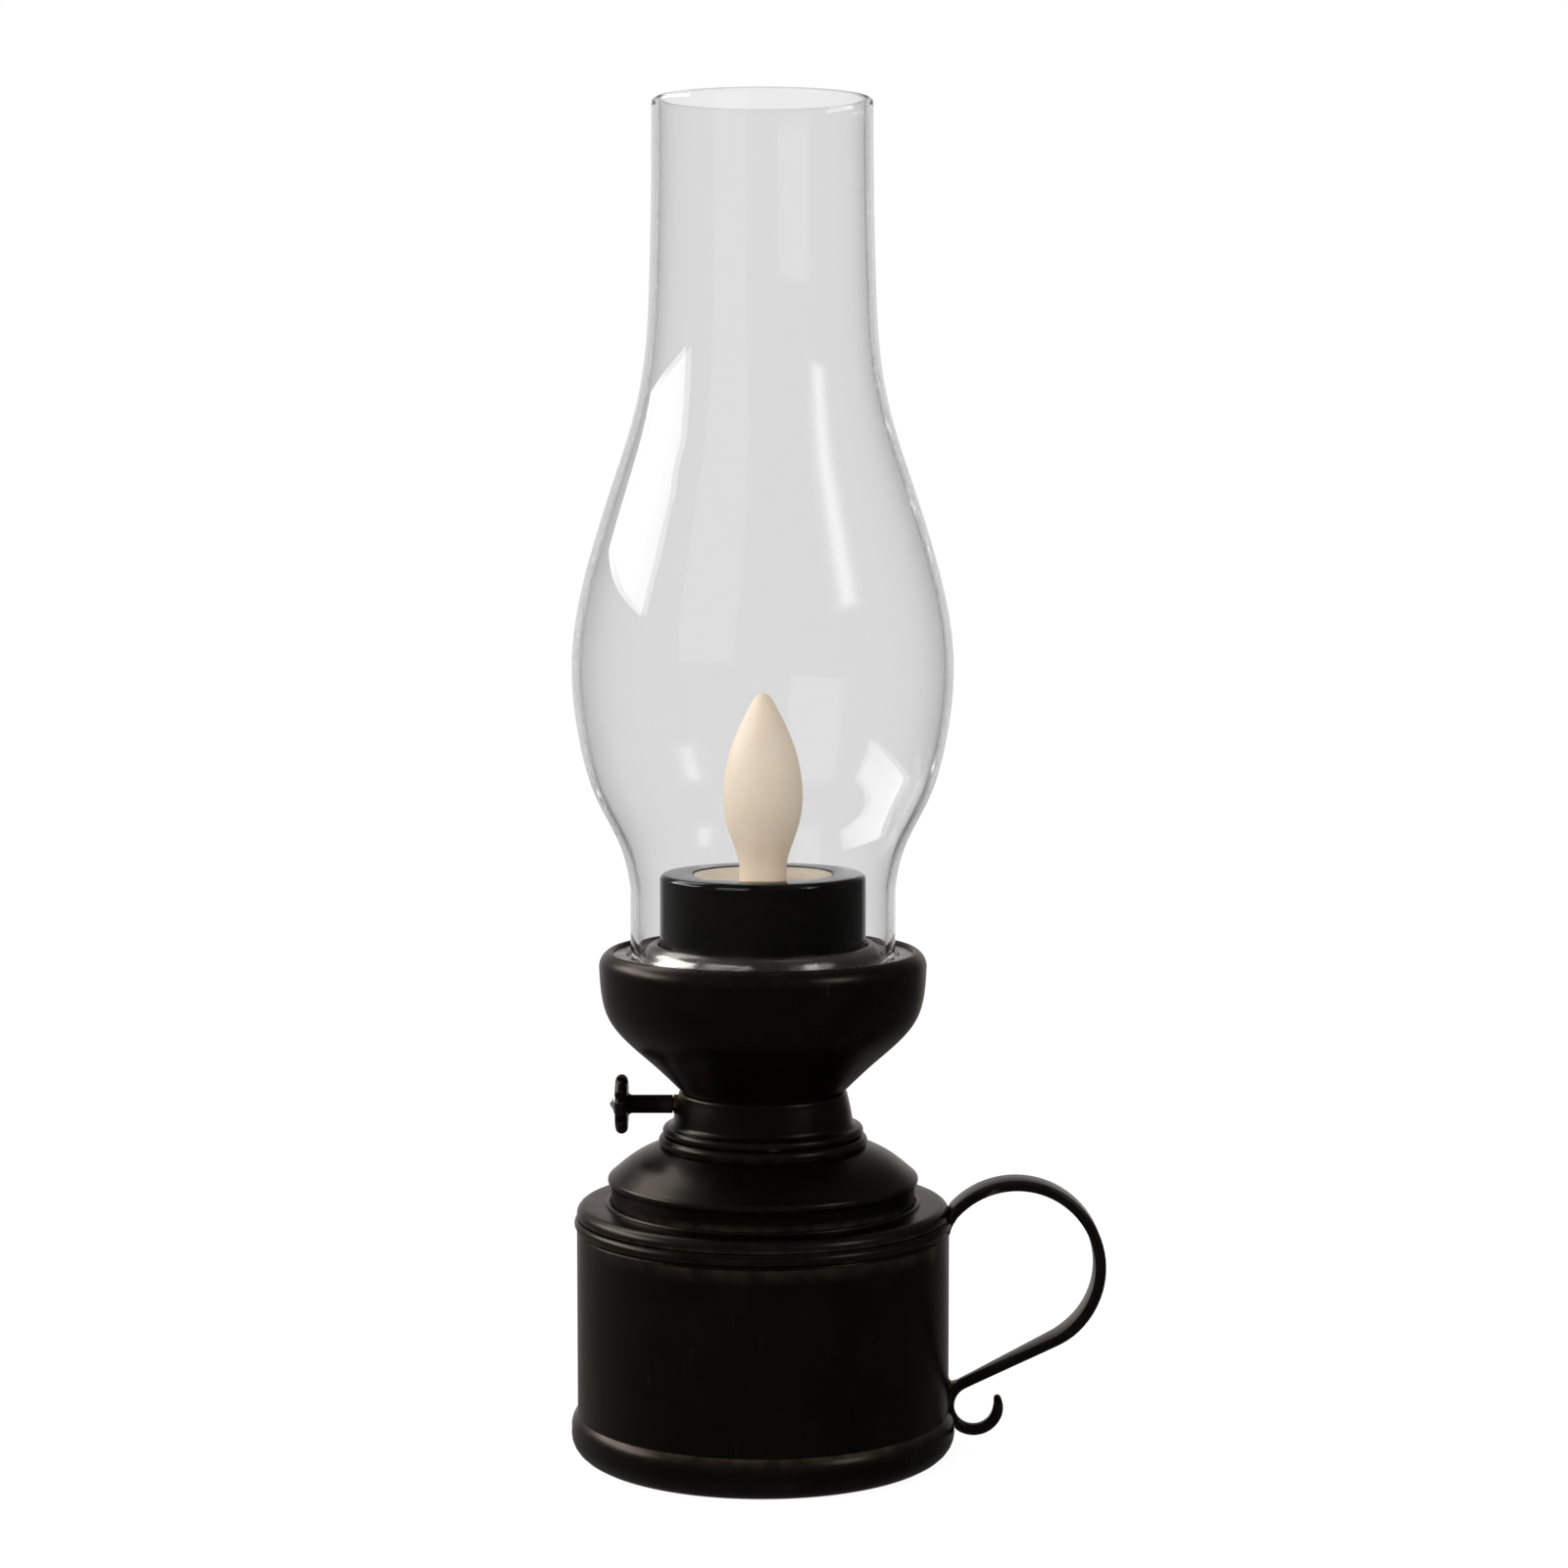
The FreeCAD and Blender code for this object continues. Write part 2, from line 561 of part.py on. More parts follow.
def candle_shell():
    """Round case, open below, with screw bosses and a wide opening in its top."""
    inner = CANDLE_RADIUS - CANDLE_WALL
    edge = 1.2
    foot_edge = 0.8
    roof = CANDLE_TOP - CANDLE_ROOF
    outline = Outline(CANDLE_RADIUS - foot_edge, CANDLE_FOOT)
    outline.line(CANDLE_RADIUS, CANDLE_FOOT + foot_edge)
    outline.line(CANDLE_RADIUS, CANDLE_TOP - edge)
    outline.arc((CANDLE_RADIUS - lean(edge), CANDLE_TOP - lean(edge)),
                CANDLE_RADIUS - edge, CANDLE_TOP)
    outline.line(DISH_RADIUS + 0.1, CANDLE_TOP)
    outline.line(DISH_RADIUS + 0.1, roof)
    outline.line(inner, roof)
    outline.line(inner, CANDLE_FOOT)
    shell = outline.spin()
    bosses = [rod(BOSS_RADIUS, CANDLE_FOOT + COVER_THICKNESS, roof, *on_circle(BOSS_CIRCLE, turn))
              for turn in BOSS_ANGLES]
    shell = shell.fuse(bosses).removeSplitter()
    pilot_top = CANDLE_FOOT + COVER_THICKNESS + PILOT_DEPTH
    pilots = [rod(SCREW_RADIUS, CANDLE_FOOT, pilot_top, *on_circle(BOSS_CIRCLE, turn))
              for turn in BOSS_ANGLES]
    return shell.cut(pilots)


def flame_dish():
    """Concave dish in the case's opening, with a flange below it and a hole for the flame."""
    rim_z = CANDLE_TOP - 0.2
    roof = CANDLE_TOP - CANDLE_ROOF
    hole = FLAME_COLLAR_RADIUS + 0.2
    outline = Outline(DISH_RADIUS, rim_z)
    outline.line(DISH_RADIUS, roof)
    outline.line(DISH_RADIUS + DISH_FLANGE, roof)
    outline.line(DISH_RADIUS + DISH_FLANGE, roof - 1.2)
    outline.line(hole, roof - 1.6)
    outline.line(hole, CANDLE_TOP - 1.7)
    outline.curve([(9.6, CANDLE_TOP - 1.35), (DISH_RADIUS - 0.7, rim_z)])
    return outline.spin()


def tip_point(top, radius, degrees):
    """A place on a round tip centred on the axis, this many degrees above its centre."""
    x, z = on_circle(radius, degrees)
    return x, top - radius + z


def flame_cover():
    """Hollow flame: a flange under the dish, a collar and a body drawn up to a soft tip."""
    collar = FLAME_COLLAR_RADIUS
    dish_under = CANDLE_TOP - 3.0
    bore = collar - FLAME_WALL
    outline = Outline(bore, FLAME_FOOT)
    outline.line(collar + FLAME_FLANGE, FLAME_FOOT)
    outline.line(collar + FLAME_FLANGE, dish_under)
    outline.line(collar, dish_under)
    outline.line(collar, CANDLE_TOP + 1.5)
    outline.curve([(5.1, 122.6), (6.9, 128.2), (7.95, 133.8), (7.7, 139.4), (6.4, 145.0),
                   (4.1, 150.6), tip_point(FLAME_TIP, 2.1, 25)])
    outline.arc(tip_point(FLAME_TIP, 2.1, 60), 0, FLAME_TIP)
    hollow_tip = FLAME_TIP - 2 * FLAME_WALL
    outline.line(0, hollow_tip)
    outline.arc(tip_point(hollow_tip, 1.1, 60), *tip_point(hollow_tip, 1.1, 25))
    outline.curve([(3.1, 150.1), (5.4, 144.8), (6.7, 139.3), (6.95, 133.8), (5.9, 128.4),
                   (4.1, 122.9), (bore, CANDLE_TOP + 1.5)])
    outline.line(bore, FLAME_FOOT)
    return outline.spin()


# ---------------------------------------------------------------- electric candle, inside

def candle_base_cover():
    """Bottom cover with the cell's opening, the switch's slot and countersunk screw holes."""
    low = CANDLE_FOOT
    high = CANDLE_FOOT + COVER_THICKNESS
    ledge = low + DOOR_THICKNESS
    cover = rod(CANDLE_RADIUS - CANDLE_WALL, low, high)
    boss = rod(1.4, high, high + 2.4, 0, DOOR_EAR_Y)
    cover = cover.fuse(boss).removeSplitter()
    cuts = door_plate(0.1) + [rod(CELL_RADIUS + CELL_CLEARANCE, ledge, high),
                              rod(DOOR_SCREW_RADIUS, ledge, high + 2.0, 0, DOOR_EAR_Y)]
    for turn in BOSS_ANGLES:
        x, y = on_circle(BOSS_CIRCLE, turn)
        cuts.append(rod(SCREW_HEAD_RADIUS + 0.15, low, low + COVER_SCREW_SINK, x, y))
        cuts.append(rod(SCREW_RADIUS + 0.2, low, high, x, y))
    slot_reach = SWITCH_TRAVEL / 2 + NIB_HALF_LENGTH + 0.3
    cuts.append(block((SWITCH_X - 1.3, SWITCH_X + 1.3), (-slot_reach, slot_reach), (low, high)))
    return cover.cut(cuts)


def door_plate(extra):
    """The solids that make up the door's outline, grown by this much."""
    low = CANDLE_FOOT
    high = low + DOOR_THICKNESS
    width = DOOR_EAR_RADIUS + extra
    return [rod(DOOR_RADIUS + extra, low, high),
            rod(width, low, high, 0, DOOR_EAR_Y),
            block((-width, width), (0, DOOR_EAR_Y), (low, high))]


def battery_door():
    """Round door under the cell, with an ear for its screw and a notch for a fingernail."""
    low = CANDLE_FOOT
    disc, ear, neck = door_plate(0)
    door = disc.fuse([ear, neck]).removeSplitter()
    nail_notch = rod(2.0, low, low + 0.5, 0, -DOOR_RADIUS + 2.8)
    counterbore = rod(1.2, low, low + 0.8, 0, DOOR_EAR_Y)
    screw_hole = rod(DOOR_SCREW_RADIUS + 0.1, low, low + DOOR_THICKNESS, 0, DOOR_EAR_Y)
    return door.cut([nail_notch, counterbore, screw_hole])


def cover_screws():
    """Three screws that hold the bottom cover in the case."""
    head_z = CANDLE_FOOT + COVER_SCREW_SINK - SCREW_HEAD_HEIGHT
    return Part.makeCompound([
        screw(*on_circle(BOSS_CIRCLE, turn), head_z, SCREW_HEAD_HEIGHT, COVER_SCREW_LENGTH,
              SCREW_RADIUS, SCREW_HEAD_RADIUS)
        for turn in BOSS_ANGLES])


def battery_cradle():
    """Cup over the cell, with two posts for the board and slots for the contacts."""
    low = CANDLE_FOOT + COVER_THICKNESS
    roof_top = CRADLE_ROOF + CRADLE_ROOF_THICKNESS
    cradle = rod(CRADLE_RADIUS, low, roof_top)
    cradle = cradle.cut(rod(CELL_RADIUS + CELL_CLEARANCE, low, CRADLE_ROOF))
    posts = [rod(1.9, roof_top, BOARD_Z, *on_circle(POST_CIRCLE, turn)) for turn in POST_ANGLES]
    cradle = cradle.fuse(posts).removeSplitter()
    pilots = [rod(SCREW_RADIUS, CRADLE_ROOF + 0.4, BOARD_Z, *on_circle(POST_CIRCLE, turn))
              for turn in POST_ANGLES]
    side_slot = block((-1.7, 1.7), (CELL_RADIUS, CELL_RADIUS + 0.6), (low, roof_top))
    roof_slot = block((-7.0, -6.0), (-1.7, 1.7), (CRADLE_ROOF, roof_top))
    return cradle.cut(pilots + [side_slot, roof_slot])


def coin_cell():
    """Coin cell with its smaller cap upwards."""
    low = CANDLE_FOOT + DOOR_THICKNESS
    can = rod(CELL_RADIUS, low, low + CELL_THICKNESS - 0.6)
    can = can.makeFillet(0.5, [edge for edge in can.Edges if is_rim(edge, low)])
    cap = rod(CELL_RADIUS - 1.4, low + CELL_THICKNESS - 0.6, low + CELL_THICKNESS)
    return can.fuse(cap).removeSplitter()


def contact_negative():
    """Leaf spring under the cradle's roof that presses on the cell's cap."""
    cell_top = CANDLE_FOOT + DOOR_THICKNESS + CELL_THICKNESS
    high = CRADLE_ROOF - CONTACT_STRIP
    corners = [(-6.6, BOARD_Z), (-6.6, high), (-1.0, high), (3.0, cell_top),
               (5.5, cell_top), (5.5, cell_top + CONTACT_STRIP), (3.0, cell_top + CONTACT_STRIP),
               (-1.0, CRADLE_ROOF), (-6.35, CRADLE_ROOF), (-6.35, BOARD_Z)]
    profile = [Vector(x, -1.5, z) for x, z in corners + corners[:1]]
    return Part.Face(Part.makePolygon(profile)).extrude(Vector(0, 3, 0))


def contact_positive():
    """Upright strip beside the cell's can."""
    low = CANDLE_FOOT + COVER_THICKNESS + 0.4
    return block((-1.5, 1.5), (CELL_RADIUS + 0.02, CELL_RADIUS + 0.02 + CONTACT_STRIP),
                 (low, BOARD_Z))


def circuit_board():
    """Round board with holes for its screws and the LED's leads."""
    high = BOARD_Z + BOARD_THICKNESS
    cuts = [rod(SCREW_RADIUS + 0.2, BOARD_Z, high, *on_circle(POST_CIRCLE, turn))
            for turn in POST_ANGLES]
    cuts += [rod(LEAD_RADIUS, BOARD_Z, high, side * LEAD_SPACING / 2) for side in (-1, 1)]
    return rod(BOARD_RADIUS, BOARD_Z, high).cut(cuts)


def board_screws():
    """Two screws that hold the board on the cradle's posts, heads up."""
    head_radius, head_height = BOARD_SCREW_HEAD
    screws = []
    for turn in POST_ANGLES:
        x, y = on_circle(POST_CIRCLE, turn)
        upright = screw(x, y, 0, head_height, BOARD_SCREW_LENGTH, SCREW_RADIUS, head_radius)
        upright.rotate(Vector(x, y, 0), Vector(1, 0, 0), 180)
        upright.translate(Vector(0, 0, BOARD_Z + BOARD_THICKNESS + head_height))
        screws.append(upright)
    return Part.makeCompound(screws)


def flicker_chip():
    """Eight-legged chip that flickers the light."""
    low = BOARD_Z + BOARD_THICKNESS
    chip = block((3.2, 7.2), (-7.5, -2.5), (low + 0.2, low + 1.6))
    legs = []
    for row in range(4):
        y = -6.9 + row * 1.27
        legs.append(block((2.4, 8.0), (y, y + 0.4), (low, low + 0.45)))
    return chip.fuse(legs).removeSplitter()


def led_emitter():
    """Round LED with a flange and a domed lens."""
    flange = rod(LED_RADIUS + 0.4, LED_FOOT, LED_FOOT + 1)
    body = rod(LED_RADIUS, LED_FOOT + 1, LED_FOOT + 6.6)
    lens = Part.makeSphere(LED_RADIUS, Vector(0, 0, LED_FOOT + 6.6))
    return flange.fuse([body, lens]).removeSplitter()


def led_leads():
    """The LED's two legs, soldered in the board."""
    return Part.makeCompound([rod(LEAD_RADIUS, BOARD_Z, LED_FOOT, side * LEAD_SPACING / 2)
                              for side in (-1, 1)])


def door_screw():
    """Screw in the ear of the battery door."""
    return screw(0, DOOR_EAR_Y, CANDLE_FOOT + 0.2, 0.6, 2.8, DOOR_SCREW_RADIUS, 1.1)


def switch_body():
    """Housing of the slide switch, open below, on the bottom cover."""
    low = CANDLE_FOOT + COVER_THICKNESS
    housing = block((SWITCH_X - 2.4, SWITCH_X + 2.4), (-4.2, 4.2), (low, low + 3.4))
    cavity = block((SWITCH_X - 1.8, SWITCH_X + 1.8), (-3.6, 3.6), (low, low + 2.0))
    return housing.cut(cavity)


def switch_slider():
    """Thumb slider: a foot inside the housing and a ribbed nib in the cover's slot."""
    low = CANDLE_FOOT + COVER_THICKNESS
    rest_y = -SWITCH_TRAVEL / 2
    foot = block((SWITCH_X - 1.6, SWITCH_X + 1.6), (rest_y - 2.2, rest_y + 2.2),
                 (low + 0.2, low + 1.6))
    nib = block((SWITCH_X - 1.1, SWITCH_X + 1.1),
                (rest_y - NIB_HALF_LENGTH, rest_y + NIB_HALF_LENGTH),
                (CANDLE_FOOT + 0.3, low + 0.2))
    grooves = [block((SWITCH_X - 1.1, SWITCH_X + 1.1), (rest_y + y - 0.2, rest_y + y + 0.2),
                     (CANDLE_FOOT, CANDLE_FOOT + 0.6)) for y in (-1.0, 0.0, 1.0)]
    return foot.fuse(nib).removeSplitter().cut(grooves)


# ---------------------------------------------------------------- all the pieces

PIECES = {
    "base_pan": base_pan,
    "drum_wall": drum_wall,
    "drum_top": drum_top,
    "dome_shoulder": dome_shoulder,
    "neck_collar": neck_collar,
    "gallery_bowl": bowl,
    "candle_tray": candle_tray,
    "glass_chimney": glass_chimney,
    "tie_bolt": tie_bolt,
    "bolt_washer": bolt_washer,
    "bolt_nut": bolt_nut,
    "knob_spindle": knob_spindle,
    "spindle_clip": spindle_clip,
    "spindle_bush": spindle_bush,
    "knob_wheel": knob_wheel,
    "knob_cap": knob_cap,
    "handle_strip": handle_strip,
    "handle_solder": handle_solder,
    "candle_shell": candle_shell,
    "flame_dish": flame_dish,
    "flame_cover": flame_cover,
    "candle_base_cover": candle_base_cover,
    "battery_door": battery_door,
    "door_screw": door_screw,
    "cover_screws": cover_screws,
    "battery_cradle": battery_cradle,
    "coin_cell": coin_cell,
    "contact_negative": contact_negative,
    "contact_positive": contact_positive,
    "circuit_board": circuit_board,
    "board_screws": board_screws,
    "flicker_chip": flicker_chip,
    "led_emitter": led_emitter,
    "led_leads": led_leads,
    "switch_body": switch_body,
    "switch_slider": switch_slider,
}

os.makedirs("parts", exist_ok=True)
for name, make in PIECES.items():
    shape = make()
    box = shape.optimalBoundingBox(False)
    print(f"{name:18s} solids {len(shape.Solids)} valid {shape.isValid()} "
          f"volume {shape.Volume:9.1f} radius {max(box.XMax, -box.XMin):6.2f} "
          f"z {box.ZMin:7.2f} to {box.ZMax:7.2f}")
    shape.exportStep(f"parts/{name}.step")
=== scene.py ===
# %% [markdown]
# # A table oil lamp with an electric candle
# The lamp is sheet metal, turned and spun on a lathe and lacquered satin black. A blown glass
# chimney stands in a glossy tray, and round a battery candle with a cream flame.
# The measured parts are already there: each has its real size, its place and the body that it
# moves with. This lesson makes the surfaces that the eye sees, and leaves all sizes alone.
# The first cell loads the measured parts, and `part_box` reads a part's box, so that each new piece can
# be compared with it.

import json
import math

import bmesh
import bpy
import numpy as np
from mathutils import Matrix, Vector


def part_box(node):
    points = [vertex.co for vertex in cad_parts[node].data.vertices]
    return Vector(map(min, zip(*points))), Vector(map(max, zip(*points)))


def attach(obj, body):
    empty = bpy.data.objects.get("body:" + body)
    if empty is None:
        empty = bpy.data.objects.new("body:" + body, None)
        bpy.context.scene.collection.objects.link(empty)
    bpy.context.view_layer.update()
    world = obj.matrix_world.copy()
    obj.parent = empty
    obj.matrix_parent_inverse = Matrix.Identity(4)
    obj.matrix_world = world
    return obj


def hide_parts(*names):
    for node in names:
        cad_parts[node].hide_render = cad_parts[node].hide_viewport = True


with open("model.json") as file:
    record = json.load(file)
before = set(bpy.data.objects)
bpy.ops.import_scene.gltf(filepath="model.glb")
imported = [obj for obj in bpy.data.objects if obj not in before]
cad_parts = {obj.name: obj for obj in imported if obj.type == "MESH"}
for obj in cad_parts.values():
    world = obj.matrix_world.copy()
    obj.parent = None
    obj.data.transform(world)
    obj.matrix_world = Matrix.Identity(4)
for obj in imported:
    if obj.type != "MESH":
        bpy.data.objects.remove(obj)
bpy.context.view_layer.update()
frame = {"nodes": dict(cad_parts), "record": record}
BODIES = frame["record"]["behaviour"]["bodies"]
BODY_OF = {node: body for body, nodes in BODIES.items() for node in nodes}
SLOT_OF = {part["node"]: part["material_slot"] for part in frame["record"]["subparts"]}

# %% [markdown]
# ## Drawing a section
# Nearly every piece here is round, so one half of its section says all about its shape. A section
# is a line of places, each a radius and a height in millimetres. A straight stretch needs only its
# ends, and `section` adds places between them, which keeps the faces small. A rolled edge is an arc
# through three places. The bowl's flare and the glass are smooth curves through a few places: a
# natural cubic spline, which bends like a thin strip of wood held at pins. Blender's own curves
# could do it, but a spline that passes through its points is easier to read off a drawing.

# %% Arcs and smooth curves
MM = 0.001
ARC_STEP = math.radians(15)
CURVE_STEP = 1.2        # mm between places on a smooth curve
LINE_STEP = 2.5         # mm between places on a straight stretch


def arc_places(start, middle, end):
    """Places on the circle through three places, after the first."""
    start, middle, end = Vector(start), Vector(middle), Vector(end)
    u, v = middle - start, end - start
    turn = 2 * u.cross(v)
    uu, vv = u.dot(u), v.dot(v)
    centre = start + Vector((v.y * uu - u.y * vv, u.x * vv - v.x * uu)) / turn
    first, last = start - centre, end - centre
    sweep = math.atan2(first.cross(last), first.dot(last))
    if sweep * turn < 0:
        sweep += math.copysign(math.tau, turn)
    count = max(2, math.ceil(abs(sweep) / ARC_STEP))
    angles = [sweep * k / count for k in range(1, count + 1)]
    return [centre + Matrix.Rotation(angle, 2) @ first for angle in angles]


def curve_places(pins):
    """Places on the natural cubic spline through the pins, after the first."""
    pins = np.array(pins, float)
    gaps = np.linalg.norm(np.diff(pins, axis=0), axis=1)
    slopes = np.diff(pins, axis=0) / gaps[:, None]
    rows = np.eye(len(pins))
    bends = np.zeros(pins.shape)
    for k in range(1, len(pins) - 1):
        rows[k, k - 1:k + 2] = gaps[k - 1], 2 * (gaps[k - 1] + gaps[k]), gaps[k]
        bends[k] = 6 * (slopes[k] - slopes[k - 1])
    bends = np.linalg.solve(rows, bends)
    places = []
    for k, gap in enumerate(gaps):
        count = max(2, round(gap / CURVE_STEP))
        for t in np.linspace(0, 1, count + 1)[1:]:
            s = 1 - t
            bow = (s ** 3 - s) * bends[k] + (t ** 3 - t) * bends[k + 1]
            places.append(Vector(s * pins[k] + t * pins[k + 1] + gap * gap / 6 * bow))
    return places


quarter = arc_places((1, 0), (math.sqrt(0.5), math.sqrt(0.5)), (0, 1))
print("a quarter circle gets", len(quarter), "places")

# %% [markdown]
# A section reads well when each stretch stands on its own, so `arc` and `curve` only mark what kind
# of stretch follows, and `section` turns the whole list into places.

# %% A section from its stretches
def arc(middle, end):
    """An arc from the last place, through middle, to end."""
    return "arc", middle, end


def curve(*pins):
    """A smooth curve from the last place through these."""
    return "curve", pins


def section(start, *stretches):
    """The places of a section, from straight ends, arcs and curves."""
    places = [Vector(start)]
    for stretch in stretches:
        if stretch[0] == "arc":
            places += arc_places(places[-1], stretch[1], stretch[2])
        elif stretch[0] == "curve":
            places += curve_places([places[-1], *stretch[1]])
        else:
            begin, end = places[-1].copy(), Vector(stretch)
            count = math.ceil((end - begin).length / LINE_STEP)
            places += [begin.lerp(end, k / count) for k in range(1, count + 1)]
    return places


print("a bead's section has", len(section((38, 0), arc((39, 1), (38, 2)))), "places")

# %% [markdown]
# ## Turning on the lathe
# `bmesh.ops.spin` does what a lathe does. The section becomes a chain of edges in the XZ plane, and
# the spin sweeps it once round Z. `use_merge` joins the last copy to the first. A section that
# starts and ends on the axis leaves a heap of places at each pole, which `remove_doubles` makes one.
# After that the faces are turned to point outwards, because a spin can leave them inside out.

# %% Spin a section
AROUND = 160            # copies of the section in a full turn
WELD = 0.0005           # mm: places closer than this become one


def turned(places, closed=True, around=AROUND):
    """A bmesh: the section, in mm, spun round Z."""
    shape = bmesh.new()
    corners = [shape.verts.new((x * MM, 0, z * MM)) for x, z in places]
    edges = [shape.edges.new(pair) for pair in zip(corners, corners[1:])]
    if closed:
        edges.append(shape.edges.new((corners[-1], corners[0])))
    bmesh.ops.spin(shape, geom=corners + edges, cent=(0, 0, 0), axis=(0, 0, 1), angle=math.tau,
                   steps=around, use_merge=True)
    bmesh.ops.remove_doubles(shape, verts=shape.verts, dist=WELD * MM)
    bmesh.ops.recalc_face_normals(shape, faces=shape.faces)
    return shape


trial = turned(section((0, 0), (5, 0), (5, 2), (0, 2)), closed=False)
print("a turned disc is closed:", all(edge.is_manifold for edge in trial.edges))
trial.free()

# %% [markdown]
# ## Node helpers
# Every finish is made of nodes that read Object coordinates. All the pieces stand at the origin, so
# those coordinates are metres in the lamp's own frame, and a pattern runs on from piece to piece.
# `noise` asks for the size of its patches in millimetres, and `stretch` makes them longer along an
# axis, for the rings that a lathe leaves or for scratches.

# %% Small parts of a finish
def new_finish(name):
    """A new material with its node tree and its shader."""
    material = bpy.data.materials.new(name)
    material.use_nodes = True
    return material, material.node_tree, material.node_tree.nodes["Principled BSDF"]


def place(tree, stretch=(1, 1, 1)):
    """Object coordinates in mm, with each axis drawn out by its stretch."""
    coordinates = tree.nodes.new("ShaderNodeTexCoord")
    mapping = tree.nodes.new("ShaderNodeMapping")
    mapping.inputs["Scale"].default_value = [1 / (MM * s) for s in stretch]
    tree.links.new(coordinates.outputs["Object"], mapping.inputs["Vector"])
    return mapping.outputs["Vector"]


def noise(tree, size, stretch=(1, 1, 1), detail=3):
    """Cloudy noise with patches of this size in mm."""
    node = tree.nodes.new("ShaderNodeTexNoise")
    node.inputs["Scale"].default_value = 1 / size
    node.inputs["Detail"].default_value = detail
    tree.links.new(place(tree, stretch), node.inputs["Vector"])
    return node.outputs["Fac"]


def spread(tree, value, low, high, start=0.3, end=0.7):
    """The value's stretch from start to end, made a number from low to high."""
    node = tree.nodes.new("ShaderNodeMapRange")
    for name, number in (("From Min", start), ("From Max", end), ("To Min", low), ("To Max", high)):
        node.inputs[name].default_value = number
    tree.links.new(value, node.inputs["Value"])
    return node.outputs["Result"]


def combine(tree, operation, first, second):
    """One number from two, such as their product."""
    node = tree.nodes.new("ShaderNodeMath")
    node.operation = operation
    for socket, value in zip(node.inputs, (first, second)):
        if isinstance(value, (int, float)):
            socket.default_value = value
        else:
            tree.links.new(value, socket)
    return node.outputs["Value"]


def blend(tree, share, first, second):
    """A colour between two, by a share that a pattern gives."""
    node = tree.nodes.new("ShaderNodeMix")
    node.data_type = "RGBA"
    tree.links.new(share, node.inputs["Factor"])
    colour_inputs = [socket for socket in node.inputs if socket.type == "RGBA"]
    for socket, value in zip(colour_inputs, (first, second)):
        if isinstance(value, tuple):
            socket.default_value = (*value, 1)
        else:
            tree.links.new(value, socket)
    return next(socket for socket in node.outputs if socket.type == "RGBA")


def raise_by(tree, shader, *layers):
    """Bumps on the shader from (height, depth in mm) pairs, one on top of the other."""
    below = None
    for height, depth in layers:
        node = tree.nodes.new("ShaderNodeBump")
        node.inputs["Distance"].default_value = depth * MM
        tree.links.new(height, node.inputs["Height"])
        if below:
            tree.links.new(below, node.inputs["Normal"])
        below = node.outputs["Normal"]
    tree.links.new(below, shader.inputs["Normal"])


print("node helpers ready")

# %% [markdown]
# ## Satin black lacquer
# The body is sprayed with a thin satin lacquer that has a warm, almost brown depth. It is not one
# flat black: it pools a little, and its gloss changes where hands have touched it. Along the crests
# of the beads it is lighter and bronze, partly from wear and partly as a painted highlight for the
# bright lines that the beads catch. The crests come from Pointiness, which is high where a surface
# bends outwards. Fine rings from the spinning and the faint orange peel of the spray are too small
# to model, so they are bumps.
#
# A plain glossy black goes pale where a round body turns away from the eye, and lacquer does so
# far less. So a clear coat with a low index and a brown tint lies on top. Its own reflection is
# faint, but light has a longer way through it at a slant, which keeps the sides dark and warm.

# %% Finish of the body
def satin_black():
    """Warm satin lacquer, lighter on its crests from wear and a painted highlight, under a tinted coat.
    """
    material, tree, shader = new_finish("satin_black")
    pools = spread(tree, noise(tree, 11), 0, 1)
    lacquer = blend(tree, pools, (0.0025, 0.0021, 0.0016), (0.0042, 0.0035, 0.0027))
    geometry = tree.nodes.new("ShaderNodeNewGeometry")
    crest = spread(tree, geometry.outputs["Pointiness"], 0, 1, 0.515, 0.60)
    patchy = spread(tree, noise(tree, 3.5), 0.25, 1, 0.35, 0.65)
    # Painted highlight and wear: the bead crests get a lighter bronze colour, for the wear there and
    # for the bright lines the beads catch.
    crest_wear_and_highlight = combine(tree, "MULTIPLY", crest, patchy)
    lacquer_with_crest_highlight = blend(tree, crest_wear_and_highlight, lacquer, (0.050, 0.037, 0.028))
    scratch = spread(tree, noise(tree, 0.30, (1, 1, 45), 2), 0, 1, 0.70, 0.78)
    shy = spread(tree, noise(tree, 9), 0, 0.5, 0.50, 0.62)
    scratched = combine(tree, "MULTIPLY", scratch, shy)
    tree.links.new(blend(tree, scratched, lacquer_with_crest_highlight, (0.060, 0.052, 0.044)), shader.inputs["Base Color"])
    handled = spread(tree, noise(tree, 6, detail=5), 0.25, 0.35)
    tree.links.new(combine(tree, "ADD", handled, combine(tree, "MULTIPLY", scratched, 0.2)),
                   shader.inputs["Roughness"])
    shader.inputs["Specular Tint"].default_value = (1.0, 0.90, 0.80, 1)
    shader.inputs["IOR"].default_value = 1.45
    shader.inputs["Coat Weight"].default_value = 1.0
    shader.inputs["Coat IOR"].default_value = 1.1
    shader.inputs["Coat Roughness"].default_value = 0.3
    shader.inputs["Coat Tint"].default_value = (0.70, 0.64, 0.59, 1)
    rings = noise(tree, 0.35, (60, 60, 1), 2)
    raise_by(tree, shader, (noise(tree, 0.7), 0.010), (rings, 0.006), (noise(tree, 14), 0.10))
    return material


SATIN_BLACK = satin_black()
print(SATIN_BLACK.name, "has", len(SATIN_BLACK.node_tree.nodes), "nodes")

# %% [markdown]
# ## Gloss enamel of the tray
# The tray is pressed from thin sheet and dipped in gloss enamel, which shines as if wet. Its index
# is set higher than real enamel has, so that it reflects strongly even where it is seen from
# straight above. The sheet under it isn't quite flat, so reflections in it wave. A wide, shallow
# bump does that, and a few specks of dust keep it from looking like liquid.

